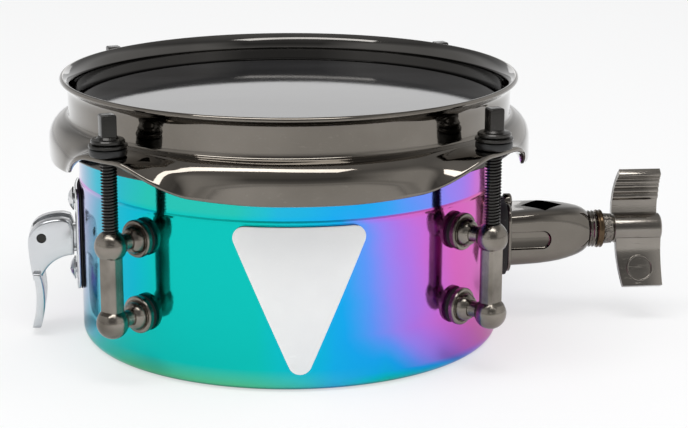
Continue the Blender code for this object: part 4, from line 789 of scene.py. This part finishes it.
def clamp_block():
    """The cast body's solid, narrowing from its flange to the lock washer."""
    start, length, half_width, half_height, count = 80.3, 30.3, 11.7, 10.3, 72
    stations = [(0, 1, 1, 6), (0.18, 0.98, 1.0, 6), (0.35, 0.94, 1, 6), (0.5, 0.89, 0.99, 5.4),
                (0.62, 0.84, 0.97, 4.8), (0.72, 0.78, 0.94, 4.1), (0.81, 0.73, 0.90, 3.4),
                (0.88, 0.68, 0.86, 2.9), (0.94, 0.635, 0.80, 2.5), (0.98, 0.62, 0.72, 2.2),
                (1, 0.585, 0.67, 2.05)]
    casting = bmesh.new()
    rings = []
    for share, wide, tall, power in stations:
        ring = bmesh.ops.create_circle(casting, segments=count, radius=1)["verts"]
        for vert, (y, z) in zip(ring, superellipse(half_width * wide, half_height * tall, power, count)):
            vert.co = (start + share * length, y, z - 1.0 * (1 - share))
        rings.append({edge for vert in ring for edge in vert.link_edges})
    for first, second in zip(rings, rings[1:]):
        bmesh.ops.bridge_loops(casting, edges=list(first | second))
    bmesh.ops.holes_fill(casting, edges=casting.edges)
    bmesh.ops.recalc_face_normals(casting, faces=casting.faces)
    return casting


def clamp_casting():
    """The cast body with the rod's diamond hole, the eye's room, two side grooves and the bolt's bore."""
    half_diamond, hole_x, room_x, room_size = 7.8, 93.5, 93.6, (17.0, 14.2, 8.4, 1)
    diamond = slab([(half_diamond, 0), (0, half_diamond), (-half_diamond, 0), (0, -half_diamond)], 40)
    casting = cut(clamp_block(), placed(diamond, at(hole_x)))
    room = bmesh.new()
    bmesh.ops.create_cube(room, size=1, matrix=at(room_x) @ Matrix.Diagonal(room_size))
    casting = cut(casting, room)
    for side in (-1, 1):
        outline = rounded([(12.5, 3.4), (-14, 3.4), (-14, -3.4), (12.5, -3.4)], [3.3, 0, 0, 3.3], 8, True)
        inward = Matrix.Rotation(side * radians(-3.2), 4, "Z")
        lean = Matrix.Rotation(side * radians(9), 4, "X")
        spot = at(83.2, side * 11.0, -1.1) @ inward @ lean @ UPRIGHT
        casting = cut(casting, placed(slab(outline, 3.4, 0.9, 4), spot))
    bore = lathe([(0, 96), (SCREW_HOLE, 96), (SCREW_HOLE, 114), (0, 114)], 32)
    casting = cut(casting, placed(bore, AROUND_X))
    sharp = [e for e in casting.edges if len(e.link_faces) == 2 and e.calc_face_angle(0) > radians(38)]
    bevelled(casting, sharp, 0.4, 3)
    return casting


def make_clamp():
    """Pad, cast body with its flange and two bosses, and the two rings before the wing nut."""
    pad_x, pad_z, flange_x, flange_z, boss_foot, screw_z = 77.22, -1.3, 79.95, -0.9, 79.35, 11.3
    pad = placed(slab(rectangle(12.5, 13.6, -13.8, 7.0, 8), 3.95, 0.4), at(pad_x, 0, pad_z) @ FACING_X)
    piece("clamp_pad", pad, RUBBER, "drum", ["clamp_gasket"], where=CLAMP)
    flange = slab(rectangle(11.9, 12.6, -12.9, 6.0, 8), 1.3, 0.4, 3)
    placed(flange, at(flange_x, 0, flange_z) @ FACING_X)
    boss = [(0, 82.3), (1.5, 82.2)] + arc((1.9, 81.2), 1.0, 75, 0, 6) + [(2.9, boss_foot), (0, boss_foot)]
    bosses = [placed(lathe(boss, 40), at(z=height) @ AROUND_X) for height in (-screw_z, screw_z)]
    piece("clamp_casting", gathered(clamp_casting(), flange, *bosses), NICKEL, "drum", ["clamp_body"],
          where=CLAMP, crease=38, merge=False)
    washer = rounded([(SCREW_HOLE, 110.95), (6.5, 110.95), (6.95, 111.6), (6.4, 112.2), (6.95, 112.8),
                      (6.5, 113.65), (SCREW_HOLE, 113.65)], 0.25, closed=True)
    piece("split_washer", placed(lathe(washer, 64, ring=True), AROUND_X), NICKEL, "drum", ["lock_washer"],
          where=CLAMP)
    ring = rounded([(SCREW_HOLE, 114.0), (6.8, 114.0), (7.15, 114.5), (6.8, 115.2), (7.15, 115.9),
                    (6.8, 116.4), (SCREW_HOLE, 116.4)], 0.3, closed=True)
    piece("thrust_ring", placed(lathe(ring, 64, ring=True), AROUND_X), BROWN_BRASS, "drum", ["clamp_ring"],
          where=CLAMP)


def wing_outline(points, root, tip, ridges=0):
    """Wing seen along the screw, as an outline; ridges stand on its left side."""
    line = smooth_line(points, 24)
    plain, ridge_height = 0.30, 0.62
    left, right = [], []
    for i, spot in enumerate(line):
        along = heading(line, i)
        side = Vector((-along.y, along.x))
        share = i / (len(line) - 1)
        half = (root + (tip - root) * share) / 2
        raised = 0
        if ridges and share > plain:
            raised = ridge_height * abs(sin(pi * ridges * (share - plain) / (1 - plain)))
        left.append(spot + side * (half + raised))
        right.append(spot - side * half)
    return [tuple(p) for p in left + right[::-1]]


def make_wing_nut():
    """Barrel with a knurled foot, a ridged upper wing, and a lower wing with a plain ring on it."""
    start, end, foot_end = 120.6, 138.6, 120.2
    half_way, width = (start + end) / 2, end - start
    barrel = [(SCREW_HOLE, 116.75), (5.5, 116.75), (5.7, 117.2), (5.5, 119.9), (4.9, 120.5)]
    barrel += rounded([(5.0, start), (5.4, start + 0.3), (5.4, end - 0.6), (4.7, end),
                       (SCREW_HOLE, end)], 0.35)
    barrel = placed(lathe(barrel, 64, ring=True), AROUND_X)
    for face in barrel.faces:
        if face.calc_center_median().x < foot_end:
            face.material_index = 1
    upper = wing_outline([(3.3, 2.8), (3.97, 9.04), (3.3, 14.9), (1.6, 19.4), (0.1, 21.6)], 3.0, 2.4, 7)
    lower = wing_outline([(-3.3, -2.8), (-3.8, -8.2), (-6.0, -14.4), (-9.0, -20.2)], 3.0, 2.4)
    wings = [placed(slab(shape, width - 0.9, 0.45), at(half_way) @ FACING_X) for shape in (upper, lower)]

    # Each wing skews along the screw with its distance from it
    for wing, near, far in ((wings[0], -0.09, 0.0075), (wings[1], 0, 0.0045)):
        for vert in wing.verts:
            away = Vector(vert.co.yz).length
            slide = near * away + far * away * away
            along = (vert.co.x - start) / width
            vert.co.x += slide * (1 - along if slide > 0 else 1)
    ring = lathe(rounded([(4.1, -1.4), (4.3, 0.45), (4.95, 0.45), (5.15, -1.4)], 0.2, closed=True), 48,
                 ring=True)
    placed(ring, at(half_way + 0.4, -7.1, -13.6) @ Matrix.Rotation(radians(90 - 23), 4, "X"))
    piece("wing_form", gathered(barrel, *wings, ring), [CAST_NICKEL, KNURLED_NICKEL], "wing", ["wing_nut"],
          where=CLAMP, crease=30, merge=False)


# Snares

def make_snares():
    """Eight coiled wires, each with a straight tail into the two end plates."""
    wire, coil_r, coil_pitch, coil_turns = 0.2, 0.56, 1.15, 76
    coil_start, tail_x, plate_x = -43.8, 43.2, 49
    wire_section = [(wire, 0), (0, wire), (-wire, 0), (0, -wire)]
    tail_line = [(0, 0), (0.3, 0), (0.3, 6), (0.15, 6.2), (0, 6.2)]
    shapes = []
    for i in range(SNARE_COUNT):
        y = (i - (SNARE_COUNT - 1) / 2) * SNARE_PITCH
        coil = helix(coil_r, wire_section, coil_pitch, coil_turns, 8)
        shapes.append(placed(coil, at(coil_start, y, SNARE_Z) @ AROUND_X))
        for side in (-1, 1):
            outward = Matrix.Rotation(side * pi / 2, 4, "Y")
            shapes.append(placed(lathe(tail_line, 8), at(side * tail_x, y, SNARE_Z) @ outward))
    for side in (-1, 1):
        plate = slab(rectangle(5, 9, -9, 1.0), 1.0, 0.25)
        shapes.append(placed(plate, at(side * plate_x, 0, SNARE_PLATE_Z)))
    piece("snare_coils", gathered(*shapes), SPRING, "carrier", ["snare_wires"], merge=False)


# Parts that keep their plain form

def finish_plain_parts():
    kept = {"lug_screw": STEEL, "throw_gasket": RUBBER, "throw_nut": STEEL, "lever_pin": BLACK_ROD,
            "push_rod": CHROME, "rod_bush": BLACK_NYLON, "return_spring": SPRING, "lifter_bracket": STEEL,
            "lifter_wedge": BLACK_NYLON, "snare_carrier": STEEL, "carrier_leg": BLACK_NYLON,
            "carrier_pin": STEEL, "hinge_bracket": STEEL, "clamp_screw": STEEL, "clamp_bolt": STEEL}
    for name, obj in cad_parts.items():
        for start, finish in kept.items():
            if name.startswith(start):
                if not obj.material_slots:
                    obj.data.materials.append(finish)
                for slot in obj.material_slots:
                    slot.material = finish


# Studio

def make_camera(scene):
    """The photo's camera, fitted to the drum's outlines in it."""
    photo_width, focal_pixels, sensor = 688, 1975.6, 36
    lens = bpy.data.cameras.new("camera")
    lens.sensor_width = sensor
    lens.lens = focal_pixels / photo_width * sensor
    lens.clip_start = 0.01
    camera = new_object("camera", lens)
    right = Vector((0.99961815, -0.02747366, 0.00295982))
    up = Vector((0.00415854, 0.25546434, 0.96680953))
    ahead = Vector((0.02731793, 0.96642805, -0.25548104))
    view = Matrix((right, up, -ahead)).transposed().to_4x4()
    view.translation = (0, -0.70205, 0.22728)
    camera.matrix_world = at(AXIS_X / 1000) @ moved(turn=-3.87) @ view
    scene.camera = camera


def mirrored_sky(tree, aim):
    """Greys that shiny faces mirror: dark high up and in front, light walls at the sides."""
    height = scaled(tree, aim["Z"], 0.5, 0.5)
    sky = levels(tree, height, (0.0, 0.76), (0.52, 0.76), (0.58, 0.60), (0.66, 0.36), (0.74, 0.28),
                 (0.80, 0.26), (0.90, 0.32), (1.0, 0.5))
    front = span(tree, aim["Y"], -0.6, 0.2, 1.0, 0.0)
    front_band = levels(tree, height, (0.51, 0), (0.55, 0.45), (0.72, 0.45), (0.77, 0))
    sky = blended(tree, times(tree, front, front_band), sky, (0.05, 0.05, 0.05, 1))
    sideways = span(tree, maths(tree, "ABSOLUTE", aim["X"]), 0.35, 0.65)
    walls = levels(tree, height, (0.52, 0), (0.56, 1), (0.80, 1), (0.90, 0))
    return blended(tree, times(tree, sideways, walls), sky, (0.80, 0.80, 0.80, 1))


def seen_directly(tree, ray):
    return maths(tree, "MAXIMUM", ray["Is Camera Ray"], ray["Is Transmission Ray"])


def make_world(scene):
    """Near white behind the drum, a soft grey as light, and the mirrored sky for shiny faces."""
    world = bpy.data.worlds.new("studio")
    scene.world = world
    world.use_nodes = True
    tree = world.node_tree
    tree.nodes.clear()
    ray = node(tree, "ShaderNodeLightPath").outputs
    around = node(tree, "ShaderNodeTexCoord").outputs["Generated"]
    sky = mirrored_sky(tree, node(tree, "ShaderNodeSeparateXYZ", i0=around).outputs)
    lit = blended(tree, ray["Is Glossy Ray"], (0.61, 0.615, 0.62, 1), sky)
    seen = blended(tree, seen_directly(tree, ray), lit, (0.97, 0.97, 0.97, 1))
    back = node(tree, "ShaderNodeBackground", Color=seen, Strength=1.0)
    node(tree, "ShaderNodeOutputWorld", Surface=back.outputs[0])


def make_floor():
    """A wide white floor, just under the drum, partly glowing so that it meets the background."""
    made = bpy.data.materials.new("studio_floor")
    made.use_nodes = True
    tree = made.node_tree
    shader = tree.nodes["Principled BSDF"]
    feed(tree, shader, Base_Color=(0.94, 0.94, 0.94, 1), Roughness=0.9, Specular_IOR_Level=0.1)
    white = node(tree, "ShaderNodeEmission", Color=(1, 1, 1, 1), Strength=0.98)
    ray = node(tree, "ShaderNodeLightPath").outputs
    glow = scaled(tree, seen_directly(tree, ray), 0.62, times(tree, ray["Is Glossy Ray"], 0.12))
    both = node(tree, "ShaderNodeMixShader", i0=glow, i1=shader.outputs[0], i2=white.outputs[0])
    feed(tree, tree.nodes["Material Output"], Surface=both.outputs[0])
    bm = bmesh.new()
    bmesh.ops.create_grid(bm, x_segments=8, y_segments=8, size=6)
    mesh = new_mesh("floor", bm)
    mesh.materials.append(made)
    floor = new_object("floor", mesh)
    floor.location.z = -0.0002


def make_lamp(name, place, size, power, target=(0, 0, 0.05), mirrored=True):
    """A rectangular lamp aimed at a point, out of the camera's sight."""
    light = bpy.data.lights.new(name, "AREA")
    light.shape = "RECTANGLE"
    light.size, light.size_y = size
    light.energy = power
    obj = new_object(name, light)
    obj.location = place
    obj.rotation_euler = (Vector(target) - Vector(place)).to_track_quat("-Z", "Y").to_euler()
    obj.visible_camera = False
    obj.visible_glossy = mirrored


def make_studio(scene):
    scene.view_settings.view_transform = "Standard"
    make_camera(scene)
    make_world(scene)
    make_floor()
    make_lamp("top_strip", (-0.2, -0.5, 1.5), (1.5, 0.42), 12)
    make_lamp("left_card", (-1.3, -0.6, 0.8), (0.6, 1.2), 3.2, mirrored=False)
    make_lamp("right_card", (1.3, -0.3, 0.7), (0.5, 1.0), 2.8, mirrored=False)
    make_lamp("back_card", (0.08, 1.3, 0.40), (0.42, 0.24), 0.25, (0, 0, 0.09))


make_shell()
make_badge()
make_head()
make_hoop()
make_rods()
make_lugs()
make_throw_off()
make_lever()
make_clamp()
make_wing_nut()
make_snares()
finish_plain_parts()
make_studio(bpy.context.scene)
